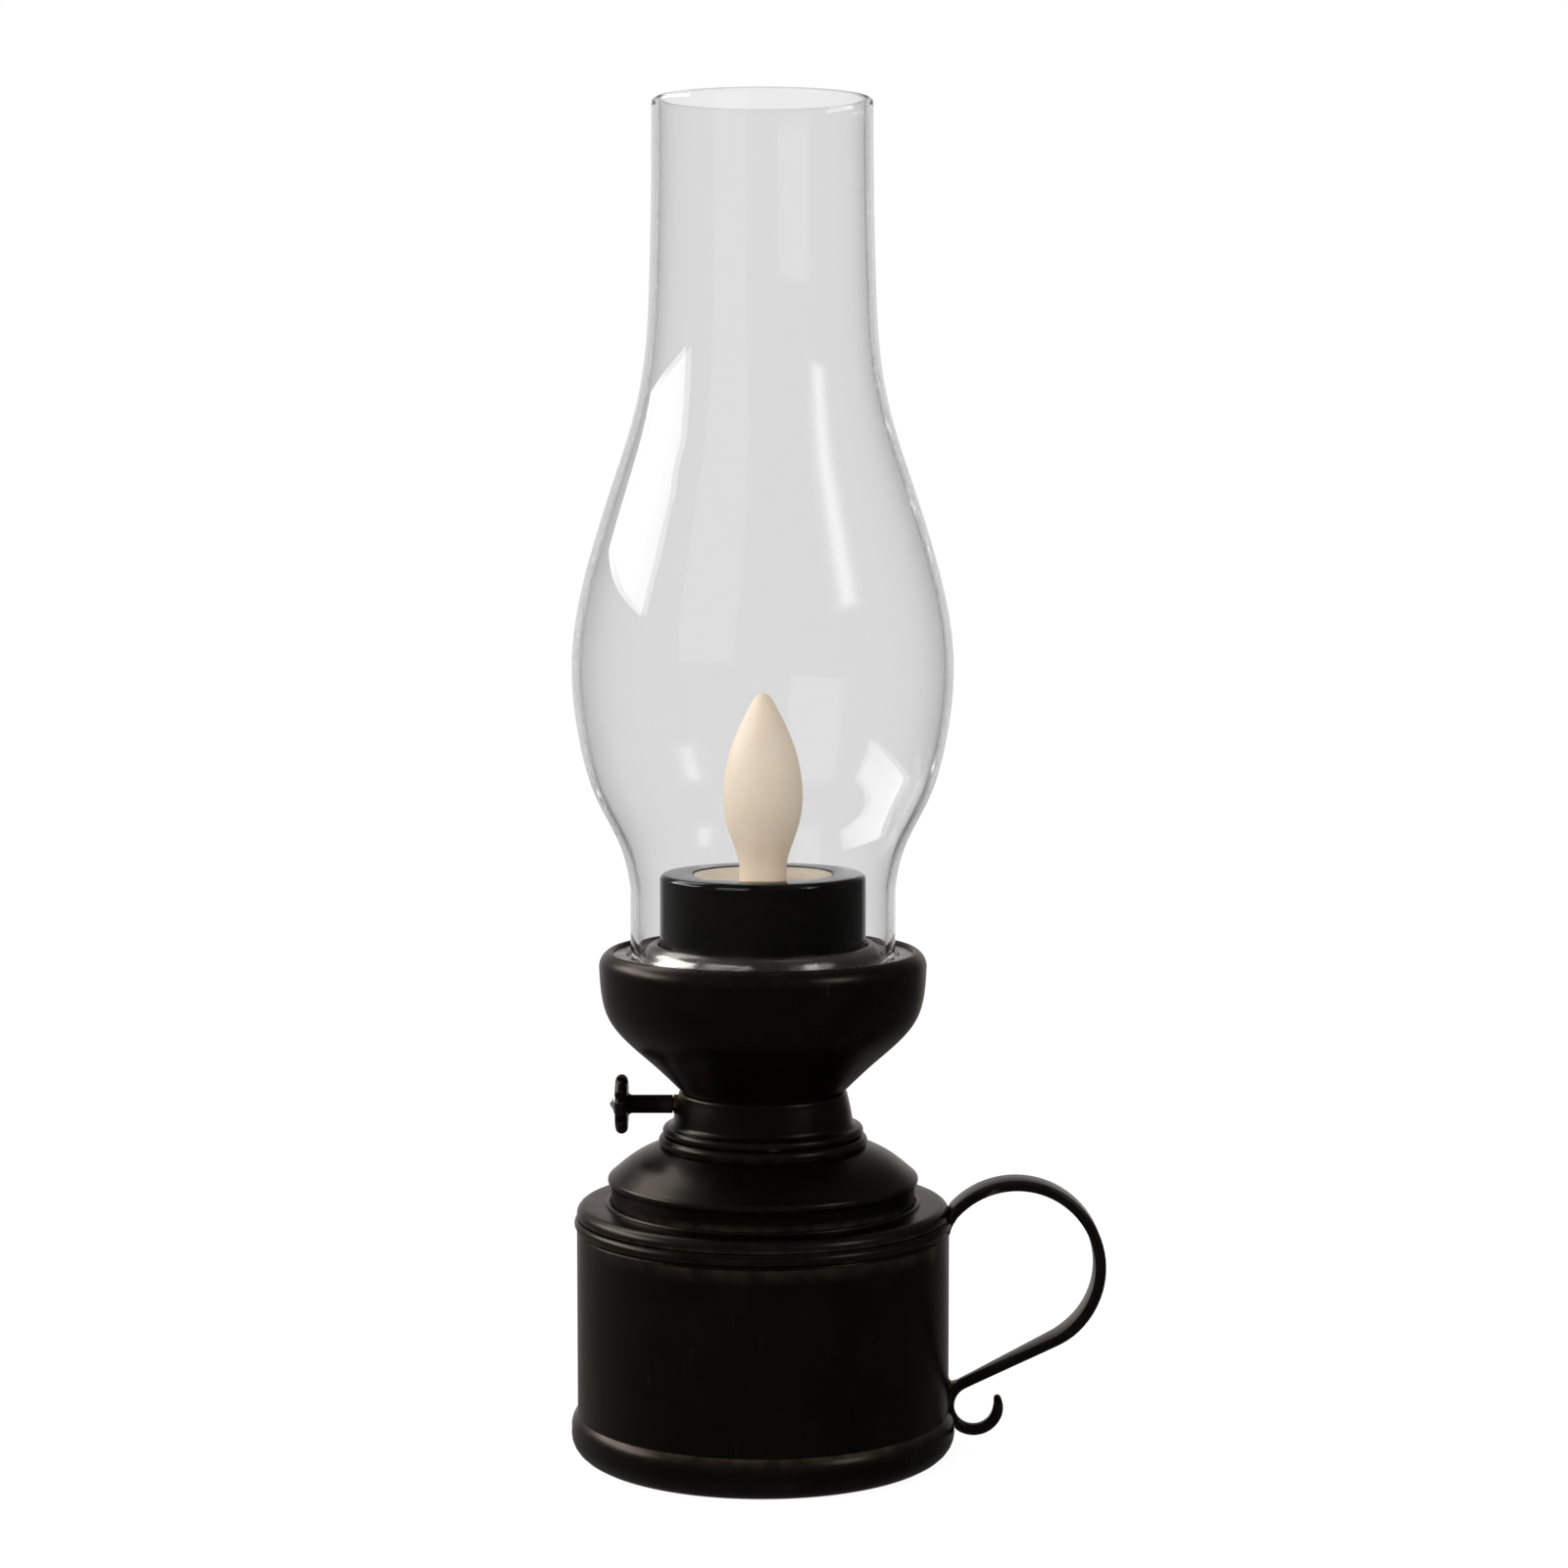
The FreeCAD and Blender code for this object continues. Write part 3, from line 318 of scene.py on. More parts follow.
# %% Finish of the tray
def tray_enamel():
    """Deep gloss black over slightly wavy sheet."""
    material, tree, shader = new_finish("tray_enamel")
    specks = spread(tree, noise(tree, 0.35, detail=1), 0, 1, 0.72, 0.80)
    tree.links.new(blend(tree, specks, (0.016, 0.0145, 0.013), (0.07, 0.065, 0.06)),
                   shader.inputs["Base Color"])
    tree.links.new(spread(tree, noise(tree, 5), 0.16, 0.28), shader.inputs["Roughness"])
    shader.inputs["IOR"].default_value = 3.2
    shader.inputs["Specular Tint"].default_value = (1.0, 0.93, 0.87, 1)
    raise_by(tree, shader, (noise(tree, 6, (1, 1, 0.4), 1), 0.22), (noise(tree, 1.2), 0.01))
    return material


TRAY_ENAMEL = tray_enamel()
print(TRAY_ENAMEL.name, "has", len(TRAY_ENAMEL.node_tree.nodes), "nodes")

# %% [markdown]
# ## Blown glass
# The chimney is clear soda glass, a little grey in its depth. With the full index of glass the two
# faces of the wall bend the dark parts of the room into a heavy line at each side. A thin blown wall
# in soft light shows almost none. So the shader's own index is close to that of air and hardly
# bends the light, and a clear coat with a higher index gives the reflections. The colour is a touch
# lighter edge on, by the Facing output of Layer Weight: painted light that lifts the sides, which the
# coat's reflection leaves darker, so they don't close up. Hot glass never sets quite even, so it has
# a slow wave and finer ripples drawn out along its height.

# %% Finish of the chimney
def blown_glass():
    """Clear glass that hardly bends light, with slow waves and a reflecting coat."""
    material, tree, shader = new_finish("blown_glass")
    edge_on = tree.nodes.new("ShaderNodeLayerWeight")
    edge_on.inputs["Blend"].default_value = 0.25
    slant = spread(tree, edge_on.outputs["Facing"], 0, 1, 0.35, 0.9)
    # Painted light: the glass is a touch lighter edge on, to lift the sides that the coat's reflection
    # leaves darker.
    tree.links.new(blend(tree, slant, (0.865, 0.865, 0.865), (0.885, 0.885, 0.885)),
                   shader.inputs["Base Color"])
    tree.links.new(spread(tree, noise(tree, 8), 0.0, 0.03), shader.inputs["Roughness"])
    shader.inputs["Transmission Weight"].default_value = 1.0
    shader.inputs["IOR"].default_value = 1.05
    shader.inputs["Coat Weight"].default_value = 1.0
    shader.inputs["Coat IOR"].default_value = 1.3
    shader.inputs["Coat Roughness"].default_value = 0.01
    wave, ripple = noise(tree, 30, (1, 1, 2), 1), noise(tree, 9, (1, 1, 3), 1)
    raise_by(tree, shader, (wave, 0.12), (ripple, 0.004))
    return material


BLOWN_GLASS = blown_glass()
print(BLOWN_GLASS.name, "has", len(BLOWN_GLASS.node_tree.nodes), "nodes")

# %% [markdown]
# ## The candle's two plastics
# The candle's case is polished black plastic, smoother than the lacquer, with the faint haze that a
# cloth leaves and a few specks of dust. The dish and the flame are one cream plastic. Light goes a
# little way into it and comes out softened and warmer, which is what Subsurface does. Its surface
# is matt from the mould.

# %% Finishes of the candle
def polished_black():
    """Moulded, polished plastic with a faint haze and specks of dust."""
    material, tree, shader = new_finish("polished_black")
    haze = noise(tree, 4, (1, 1, 0.5), 4)
    gloss_black = blend(tree, spread(tree, haze, 0, 1),
                        (0.0020, 0.0018, 0.0014), (0.0040, 0.0036, 0.0028))
    dust = spread(tree, noise(tree, 0.45, detail=1), 0, 1, 0.76, 0.82)
    tree.links.new(blend(tree, dust, gloss_black, (0.06, 0.055, 0.05)),
                   shader.inputs["Base Color"])
    tree.links.new(spread(tree, haze, 0.04, 0.09), shader.inputs["Roughness"])
    shader.inputs["IOR"].default_value = 1.5
    raise_by(tree, shader, (noise(tree, 9, detail=1), 0.05), (noise(tree, 0.6), 0.002))
    return material


def cream_plastic():
    """Matt cream plastic that lets some light in."""
    material, tree, shader = new_finish("cream_plastic")
    cloud = spread(tree, noise(tree, 6), 0, 1)
    tree.links.new(blend(tree, cloud, (0.71, 0.595, 0.475), (0.67, 0.56, 0.44)),
                   shader.inputs["Base Color"])
    shader.inputs["Subsurface Weight"].default_value = 0.35
    shader.inputs["Subsurface Radius"].default_value = (1.0, 0.7, 0.45)
    shader.inputs["Subsurface Scale"].default_value = 3 * MM
    tree.links.new(spread(tree, noise(tree, 2), 0.42, 0.56), shader.inputs["Roughness"])
    shader.inputs["IOR"].default_value = 1.38
    raise_by(tree, shader, (noise(tree, 0.4), 0.008), (noise(tree, 5, detail=1), 0.06))
    return material


POLISHED_BLACK = polished_black()
CREAM_PLASTIC = cream_plastic()
print(POLISHED_BLACK.name, "and", CREAM_PLASTIC.name, "ready")

# %% [markdown]
# ## Metals and inner materials
# The knob's point, the screws and the battery are bright steel, the bush is turned brass, and inside
# the candle are a dark moulded cradle, a green board and an amber lens. Most of them are seen only
# when the lamp is taken apart, but each is still a real surface: brushed lines on the metals, a
# grain in the plastic, copper lanes under the board's green mask.

# %% Finishes of the small parts
def bright_steel():
    """Plated steel with fine brushed lines."""
    material, tree, shader = new_finish("bright_steel")
    shader.inputs["Metallic"].default_value = 1.0
    stain = spread(tree, noise(tree, 2.5), 0, 1)
    tree.links.new(blend(tree, stain, (0.70, 0.69, 0.67), (0.52, 0.50, 0.48)),
                   shader.inputs["Base Color"])
    lines = noise(tree, 0.12, (30, 1, 1), 2)
    tree.links.new(spread(tree, lines, 0.16, 0.34), shader.inputs["Roughness"])
    raise_by(tree, shader, (lines, 0.002))
    return material


def turned_brass():
    """Turned brass, a little dulled."""
    material, tree, shader = new_finish("turned_brass")
    shader.inputs["Metallic"].default_value = 1.0
    dull = spread(tree, noise(tree, 1.5), 0, 1)
    tree.links.new(blend(tree, dull, (0.75, 0.56, 0.27), (0.48, 0.34, 0.16)),
                   shader.inputs["Base Color"])
    rings = noise(tree, 0.15, (1, 20, 20), 2)
    tree.links.new(spread(tree, rings, 0.22, 0.40), shader.inputs["Roughness"])
    raise_by(tree, shader, (rings, 0.002))
    return material


def grained_plastic():
    """Dark moulded plastic with a spark-eroded grain."""
    material, tree, shader = new_finish("grained_plastic")
    grain = noise(tree, 0.25, detail=4)
    tree.links.new(blend(tree, spread(tree, grain, 0, 1), (0.030, 0.030, 0.031), (0.055, 0.055, 0.056)),
                   shader.inputs["Base Color"])
    tree.links.new(spread(tree, grain, 0.45, 0.65), shader.inputs["Roughness"])
    raise_by(tree, shader, (grain, 0.01))
    return material


def board_mask():
    """Green solder mask over copper lanes."""
    material, tree, shader = new_finish("board_mask")
    lanes = spread(tree, noise(tree, 1.6, (4, 1, 1), 1), 0, 1, 0.49, 0.53)
    tree.links.new(blend(tree, lanes, (0.020, 0.13, 0.05), (0.07, 0.26, 0.10)),
                   shader.inputs["Base Color"])
    tree.links.new(spread(tree, noise(tree, 3), 0.22, 0.36), shader.inputs["Roughness"])
    raise_by(tree, shader, (lanes, 0.02))
    return material


def amber_lens():
    """Clear amber epoxy."""
    material, tree, shader = new_finish("amber_lens")
    swirl = spread(tree, noise(tree, 1.2), 0, 1)
    tree.links.new(blend(tree, swirl, (0.95, 0.66, 0.26), (0.88, 0.52, 0.16)),
                   shader.inputs["Base Color"])
    shader.inputs["Transmission Weight"].default_value = 0.7
    tree.links.new(spread(tree, swirl, 0.05, 0.12, 0, 1), shader.inputs["Roughness"])
    raise_by(tree, shader, (noise(tree, 0.8), 0.003))
    return material


FINISH = {
    "body_black": SATIN_BLACK, "tray_gloss_black": TRAY_ENAMEL, "clear_glass": BLOWN_GLASS,
    "candle_gloss_black": POLISHED_BLACK, "flame_cream": CREAM_PLASTIC, "bright_steel": bright_steel(),
    "bush_brass": turned_brass(), "inner_plastic": grained_plastic(), "board_green": board_mask(),
    "led_lens": amber_lens(),
}
print("finishes:", ", ".join(sorted(FINISH)))

# %% [markdown]
# ## The measured pieces that stay
# Screws, bush, battery and board already have their true shape, so each only gets its finish. The
# record names a material slot for every node, and the table above gives that slot its finish.

# %% Finish every measured node
for name, node in frame["nodes"].items():
    node.data.materials.clear()
    node.data.materials.append(FINISH[SLOT_OF[name]])
print("measured nodes with a finish:", len(frame["nodes"]))

# %% [markdown]
# ## Putting a piece in its place
# A finished shape becomes an object at the origin, with its place in its mesh. It rides on the body
# of the node that it stands for and takes that node's slot. Edges sharper than 35 degrees are marked
# sharp, so that rolled beads shade smooth and cut edges stay crisp. The cell's last lines compare
# the new box with the measured one, because a look may not change a size.

# %% From shape to piece
SHARP = math.radians(35)


def finished(name, shape, *nodes):
    """Makes the shape an object that stands for these measured nodes."""
    mesh = bpy.data.meshes.new(name)
    shape.to_mesh(mesh)
    shape.free()
    mesh.shade_smooth()
    mesh.set_sharp_from_angle(angle=SHARP)
    mesh.materials.append(FINISH[SLOT_OF[nodes[0]]])
    piece = bpy.data.objects.new(name, mesh)
    bpy.context.scene.collection.objects.link(piece)
    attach(piece, BODY_OF[nodes[0]])
    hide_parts(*nodes)
    low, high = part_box(nodes[0])
    off = 0
    for axis in range(3):
        reach = [vertex.co[axis] for vertex in mesh.vertices]
        off = max(off, abs(min(reach) - low[axis]), abs(max(reach) - high[axis]))
    print(f"{name}: {len(mesh.polygons)} faces, its box within {off / MM:.2f} mm of its node's")
    return piece


print("pieces can be finished")

# %% [markdown]
# ## The drum: pan, wall and top plate
# The foot is a shallow pan with a rolled bead, pushed up inside the drum's side wall. The wall has a
# groove and a small bead near its top, where the top plate is rolled over it. Each is one sheet
# 0.8 mm thick, so the section goes up the outside and back down the inside, and one spin makes the
# closed sheet.

# %% Pan
foot_pan = turned(section(
    (0, 0), (36.8, 0), arc((38.8, 1.7), (39.4, 4.9)), arc((39.15, 7.0), (38.2, 8.3)),
    (38.2, 3.0), (37.4, 3.0), (36.6, 0.8), (0, 0.8)), closed=False)
finished("foot_pan", foot_pan, "base_pan")

# %% Side wall
drum_side = turned(section(
    (37.4, 3.0), (38.2, 3.0), (38.2, 45.8), arc((37.9, 46.2), (38.2, 46.6)),
    arc((38.7, 47.6), (38.2, 48.6)), (38.2, 48.8), (37.4, 48.8)))
finished("drum_side", drum_side, "drum_wall")

# %% Top plate with its stepped ring
drum_lid = turned(section(
    (2.6, 51.5), (31.2, 51.5), arc((31.75, 52.05), (32.3, 51.5)), (36.3, 51.5),
    arc((37.64, 50.94), (38.2, 49.6)), (38.2, 49.2), (37.4, 48.8), (37.4, 49.6),
    arc((37.08, 50.38), (36.3, 50.7)), (2.6, 50.7)))
finished("drum_lid", drum_lid, "drum_top")

# %% [markdown]
# ## Shoulder and neck
# The dome above the drum is spun over a former, so its side is one smooth curve that ends in a
# tight rolled edge. The neck has two beads and a thin waist between them. Both are open sheets, and
# `bmesh.ops.solidify` would thicken them, but their inner faces are plain, so the section simply
# comes back inside.

# %% Dome
shoulder = turned(section(
    (2.6, 63.5), (21.4, 63.5), curve((26.6, 61.05), (31.25, 57.4)), arc((31.8, 56.6), (31.45, 55.7)),
    (31.1, 55.0), (31.1, 51.5), (30.3, 51.5), (30.3, 56.6), curve((25.9, 60.2), (21.3, 62.7)),
    (2.6, 62.7)))
finished("shoulder", shoulder, "dome_shoulder")

# %% Neck
neck = turned(section(
    (2.6, 74.7), (16.5, 74.7), arc((17.07, 74.47), (17.3, 73.9)), curve((17.9, 71.4), (18.35, 68.9)),
    arc((18.75, 68.0), (19.6, 67.6)), arc((20.55, 66.6), (19.9, 65.7)),
    arc((21.35, 64.75), (21.0, 63.5)), (19.2, 63.5), (19.2, 65.5), (17.6, 68.4),
    curve((17.1, 71.4), (16.5, 73.9)), (2.6, 73.9)))
finished("neck", neck, "neck_collar")

# %% [markdown]
# ## Bowl and tray
# The bowl flares from the neck to a rolled lip. The tray drops into the lip: a ring channel holds
# the foot of the chimney, and a deep cup holds the candle, with a rounded collar between the two.
# The tray's section is one sheet line and the same line 0.7 mm lower, so here only the upper line is
# drawn and `solidify` gives the wall. It thickens against the normals, so the cup's floor is first
# made to face up.

# %% Bowl
bowl = turned(section(
    (2.6, 74.7), (16.6, 74.7), (17.0, 75.1),
    curve((22.9, 80.8), (28.4, 85.8), (31.6, 90.0), (33.0, 94.9), (33.4, 99.9)),
    arc((32.85, 102.4), (31.4, 103.6)), arc((30.8, 103.45), (30.5, 103.1)),
    (30.5, 102.2), (29.6, 102.2), (29.6, 101.4), arc((31.9, 101.0), (32.6, 99.2)),
    curve((32.2, 94.9), (30.85, 90.45), (27.8, 86.35), (22.3, 81.35), (16.8, 76.1)), (16.1, 75.5),
    (2.6, 75.5)))
finished("bowl", bowl, "gallery_bowl")

# %% Tray
TRAY_SHEET = 0.7
tray = turned(section(
    (0, 90.6), (20.6, 90.6), arc((21.17, 90.83), (21.4, 91.4)), (21.4, 104.4),
    arc((21.63, 104.97), (22.2, 105.2)), arc((23.5, 104.45), (24.3, 102.9)), (24.7, 102.3),
    (27.5, 102.3), (27.9, 102.9), (30.5, 102.9)), closed=False)
cup_floor = min(tray.faces, key=lambda face: face.calc_center_median().z)
if cup_floor.normal.z < 0:
    bmesh.ops.reverse_faces(tray, faces=tray.faces)
bmesh.ops.solidify(tray, geom=tray.faces, thickness=TRAY_SHEET * MM)
bmesh.ops.recalc_face_normals(tray, faces=tray.faces)
finished("tray", tray, "candle_tray")

# %% [markdown]
# ## The chimney
# Blown glass is the one piece whose two faces are both seen, outer and inner. The section follows
# the outside down from the mouth, through the bulb and the waist to the straight foot, and returns
# 1.8 mm inside. The rims are melted round, so they are half circles. The glass casts no shadow:
# clear glass lets nearly all of a lamp's light through, and a refracting shadow would only be noise.

# %% Chimney
GLASS_WALL = 1.8
FOOT_RADIUS, FOOT_Z = 27.0, 102.3
MOUTH_RADIUS, MOUTH_Z = 22.2, 275.0
SIDE = [(22.8, 238), (23.95, 222), (26.5, 210), (30.2, 198.6), (34, 186.7), (37.1, 175),
        (38.7, 161.5), (37.3, 147), (33.9, 135), (28.6, 124)]
half_wall = GLASS_WALL / 2
outer = section(
    (MOUTH_RADIUS, MOUTH_Z - half_wall), curve((22.35, 255), *SIDE, (FOOT_RADIUS, 116.5)),
    (FOOT_RADIUS, FOOT_Z + half_wall))
inner = [Vector((x - GLASS_WALL, z)) for x, z in reversed(outer)]
foot_rim = arc_places(outer[-1], (FOOT_RADIUS - half_wall, FOOT_Z), inner[0])
mouth_rim = arc_places(inner[-1], (MOUTH_RADIUS - half_wall, MOUTH_Z), outer[0])
glass = turned(outer + foot_rim[:-1] + inner + mouth_rim[:-1])
chimney = finished("chimney", glass, "glass_chimney")
chimney.visible_shadow = False

# %% [markdown]
# ## The candle
# The case is a plain round cup upside down with a rounded top edge. The dish lies in its opening
# with a narrow joint round it, and the flame stands in the dish. A real moulded flame isn't quite
# round: it has four soft ridges from its mould, which catch the light as a lighter and a darker
# side. So the flame is spun round first, and then each place is moved out or in by a cosine of its
# angle. The ridges fade in above the neck, so the neck stays round.

# %% Case
case_shape = turned(section(
    (20.2, 90.6), (21.0, 91.4), (21.0, 118.2), arc((20.65, 119.05), (19.8, 119.4)), (14.8, 119.4),
    arc((14.35, 119.2), (14.2, 118.8)), (14.2, 118.0), (19.5, 118.0), (19.5, 90.6)))
finished("candle_case", case_shape, "candle_shell")

# %% Dish
dish = turned(section(
    (14.1, 119.2), (14.1, 118.0), (14.9, 118.0), (14.9, 116.8), (5.0, 116.4), (5.0, 117.7),
    curve((9.6, 118.05), (13.4, 119.2))))
finished("candle_dish", dish, "flame_dish")

# %% Flame
RIDGES = 4
RIDGE_HEIGHT = 0.05     # share of the radius
RIDGE_WIDTH = 1.5       # a higher power makes narrower ridges
RIDGE_MIDDLE = 0.7      # the wave's height that leaves the radius as it is
RIDGE_ANGLE = math.radians(-84)
NECK_TOP = 120.9        # mm: the ridges start here
RIDGE_FADE = 7          # mm from no ridges to full ones
flame = turned(section(
    (3.8, 115.2), (6.2, 115.2), (6.2, 116.4), (4.8, 116.4), (4.8, NECK_TOP),
    curve((5.1, 122.6), (6.9, 128.2), (7.95, 133.8), (7.7, 139.4), (6.4, 145.0), (4.1, 150.6),
          (1.9, 154.8)),
    arc((1.05, 155.72), (0, 156.0)), (0, 154.0), (1.0, 153.4),
    curve((3.1, 150.1), (5.4, 144.8), (6.7, 139.3), (6.95, 133.8), (5.9, 128.4), (4.1, 122.9),
          (3.8, NECK_TOP))))
for vertex in flame.verts:
    free = min(max((vertex.co.z / MM - NECK_TOP) / RIDGE_FADE, 0), 1)
    angle = math.atan2(vertex.co.y, vertex.co.x) - RIDGE_ANGLE
    wave = abs(math.cos(angle * RIDGES / 2)) ** RIDGE_WIDTH - RIDGE_MIDDLE
    swell = 1 + free * RIDGE_HEIGHT * wave
    vertex.co.x *= swell
    vertex.co.y *= swell
finished("flame", flame, "flame_cover")

# %% [markdown]
# ## The knob
# The knob lies along X, but a lathe turns round Z. So its sections are drawn with the height as the
# distance out from the lamp's axis, spun, and then laid over by one rotation and lifted to the
# knob's height. The wheel gets its eight thumb notches by moving its rim places inwards.

# %% Lay a turned shape along the knob's axis
KNOB_Z = sum(corner.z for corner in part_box("knob_wheel")) / 2
KNOB_AROUND = 48        # the shaft and the point are thin, so fewer copies do
RIM_AROUND = 240        # the wheel's rim needs more, to carry its notches


def laid_along_knob(shape):
    """Turns a shape from the Z axis to the -X axis at the knob's height."""
    lay_over = Matrix.Rotation(-math.pi / 2, 3, "Y")
    bmesh.ops.rotate(shape, verts=shape.verts, cent=(0, 0, 0), matrix=lay_over)
    bmesh.ops.translate(shape, verts=shape.verts, vec=(0, 0, KNOB_Z))
    return shape


print(f"knob axis at {KNOB_Z / MM:.2f} mm")

# %% Shaft
shaft = turned(section(
    (0, 13.7), (1.5, 13.7), (1.5, 18.5), (1.9, 18.5), (1.9, 26.6), arc((2.1, 27.3), (2.7, 27.6)),
    (1.2, 27.6), (1.2, 30.5), (0, 30.5)), closed=False, around=KNOB_AROUND)
finished("knob_shaft", laid_along_knob(shaft), "knob_spindle")

# %% Wheel
WHEEL_RADIUS = 6.1
NOTCHES = 8
NOTCH_RADIUS = 1.25
NOTCH_CIRCLE = WHEEL_RADIUS + 0.45
HUB_RADIUS = 3.0        # inside this the wheel's face stays round


def notched(angle):
    """The wheel's radius at an angle, less where a notch cuts in."""
    pitch = math.tau / NOTCHES
    beside = (angle % pitch) - pitch / 2
    across = NOTCH_CIRCLE * math.sin(beside)
    if abs(across) >= NOTCH_RADIUS:
        return WHEEL_RADIUS
    bottom = NOTCH_CIRCLE * math.cos(beside) - math.sqrt(NOTCH_RADIUS ** 2 - across ** 2)
    return min(WHEEL_RADIUS, bottom)


wheel = turned(section(
    (1.2, 27.6), (2.6, 27.6), (4.9, 27.65), arc((5.75, 28.05), (6.1, 28.9)),
    arc((5.75, 29.8), (4.9, 30.2)), curve((3.6, 29.85), (2.1, 29.75)), (1.2, 29.75)),
    around=RIM_AROUND)
for vertex in wheel.verts:
    radius = vertex.co.to_2d().length / MM
    share = min(max((radius - HUB_RADIUS) / (WHEEL_RADIUS - HUB_RADIUS), 0), 1)
    cut = 1 - share * (1 - notched(math.atan2(vertex.co.y, vertex.co.x)) / WHEEL_RADIUS)
    vertex.co.x *= cut
    vertex.co.y *= cut
finished("knob_wheel_scalloped", laid_along_knob(wheel), "knob_wheel")

# %% Bright point
point = turned(section(
    (0, 30.2), (2.1, 30.2), arc((1.9, 30.5), (1.5, 30.6)), curve((0.8, 30.95), (0.3, 31.3)),
    (0, 31.4)), closed=False, around=KNOB_AROUND)
finished("knob_point", laid_along_knob(point), "knob_cap")

# %% [markdown]
# ## The handle
# The finger loop is a strip bent flatwise: an arch that leaves the drum's shoulder, a straight leg
# back to the wall and a small curl. Its side view is a chain of places. The chain is extruded to
# the strip's width, which narrows towards the curl, and `solidify` gives the thickness. A bevel
# with a profile of 0.5 then rounds the long edges, as a file would. Last, the ends are pushed out to
# the drum's round wall, and the tip of the curl is slimmed.

# %% Centre line
ARCH_CENTRE, ARCH_RADIUS = Vector((52.0, 38.2)), 17.2
CURL_CENTRE, CURL_RADIUS = Vector((43.4, 8.9)), 5.1
STRIP_THICKNESS = 2.2
WIDE, NARROW = 8.0, 2.8
WIDE_ABOVE, NARROW_BELOW = 24.0, 13.0
apart = ARCH_CENTRE - CURL_CENTRE
LEG_SLOPE = math.atan2(apart.y, apart.x) - math.asin((ARCH_RADIUS + CURL_RADIUS) / apart.length)


def on_circle(centre, radius, angle):
    """A place on a circle in the side view."""
    return centre + radius * Vector((math.cos(angle), math.sin(angle)))


def bend(centre, radius, start, end, count):
    """Evenly spaced places along a bend."""
    return [on_circle(centre, radius, start + (end - start) * k / count) for k in range(count + 1)]


ARCH_START, CURL_END = math.radians(146), math.radians(25) + math.tau
ARCH_STEPS, CURL_STEPS, LEG_STEPS = 48, 36, 12
half_strip = STRIP_THICKNESS / 2
arch = bend(ARCH_CENTRE, ARCH_RADIUS + half_strip, ARCH_START, LEG_SLOPE - math.pi / 2, ARCH_STEPS)
curl = bend(CURL_CENTRE, CURL_RADIUS - half_strip, LEG_SLOPE + math.pi / 2, CURL_END, CURL_STEPS)
leg = [arch[-1].lerp(curl[0], k / LEG_STEPS) for k in range(1, LEG_STEPS)]
outer_face = arch + leg + curl
print("side view:", len(outer_face), "places, leg at", round(math.degrees(LEG_SLOPE), 1), "degrees")

# %% Ribbon
chain_shape = bmesh.new()
chain = [chain_shape.verts.new((x * MM, 0, z * MM)) for x, z in outer_face]
chain_edges = [chain_shape.edges.new(pair) for pair in zip(chain, chain[1:])]
swept = bmesh.ops.extrude_edge_only(chain_shape, edges=chain_edges)["geom"]
far_side = {item for item in swept if isinstance(item, bmesh.types.BMVert)}
for vertex in chain_shape.verts:
    share = (vertex.co.z / MM - NARROW_BELOW) / (WIDE_ABOVE - NARROW_BELOW)
    width = NARROW + (WIDE - NARROW) * min(max(share, 0), 1)
    vertex.co.y = (width if vertex in far_side else -width) / 2 * MM
bmesh.ops.recalc_face_normals(chain_shape, faces=chain_shape.faces)
top_face = max(chain_shape.faces, key=lambda face: face.calc_center_median().z)
if top_face.normal.z < 0:
    bmesh.ops.reverse_faces(chain_shape, faces=chain_shape.faces)
print("ribbon:", len(chain_shape.faces), "faces")

# %% Thickness, rounded edges and fit to the drum
EDGE_ROUND = 0.75
WALL_RADIUS = 38.2
PAN_RADIUS, PAN_TOP = 39.5, 7.0     # the rolled foot stands further out than the wall
bmesh.ops.solidify(chain_shape, geom=chain_shape.faces, thickness=STRIP_THICKNESS * MM)
bmesh.ops.recalc_face_normals(chain_shape, faces=chain_shape.faces)
corners = [edge for edge in chain_shape.edges if edge.calc_face_angle(0) > 1]
bmesh.ops.bevel(chain_shape, geom=corners, offset=EDGE_ROUND * MM, offset_type="OFFSET", affect="EDGES",
                segments=4, profile=0.5, material=-1)
for vertex in chain_shape.verts:
    reach = vertex.co.to_2d().length / MM
    drum_radius = PAN_RADIUS if vertex.co.z / MM < PAN_TOP else WALL_RADIUS
    if reach < drum_radius:
        vertex.co.x *= drum_radius / reach
        vertex.co.y *= drum_radius / reach
print("thick strip:", len(chain_shape.faces), "faces")

# %% Slim tip
TIP_START = math.radians(-25)       # angles round the curl's centre
TIP_LIMIT = math.radians(40)        # a little past the strip's end
TIP_LENGTH = math.radians(50)
TIP_SLIMMING = 0.45                 # share of the thickness lost at the end
CURL_REACH = 1.5                    # curl radii: places further out are not the curl
for vertex in chain_shape.verts:
    out = Vector((vertex.co.x, vertex.co.z)) / MM - CURL_CENTRE
    angle = math.atan2(out.y, out.x)
    if out.length < CURL_REACH * CURL_RADIUS and TIP_START < angle < TIP_LIMIT:
        slim = 1 - TIP_SLIMMING * ((angle - TIP_START) / TIP_LENGTH) ** 2
        slimmed = CURL_RADIUS + (out.length - CURL_RADIUS) * slim
        side_place = CURL_CENTRE + out.normalized() * slimmed
        vertex.co = (side_place.x * MM, vertex.co.y * slim, side_place.y * MM)
finished("handle", chain_shape, "handle_strip")

# %% [markdown]
# The strip is soldered to the wall. Solder draws itself into a corner and leaves a hollow fillet, so
# each fillet is one face in the side view, with a curved free edge, pushed out to a short bar.

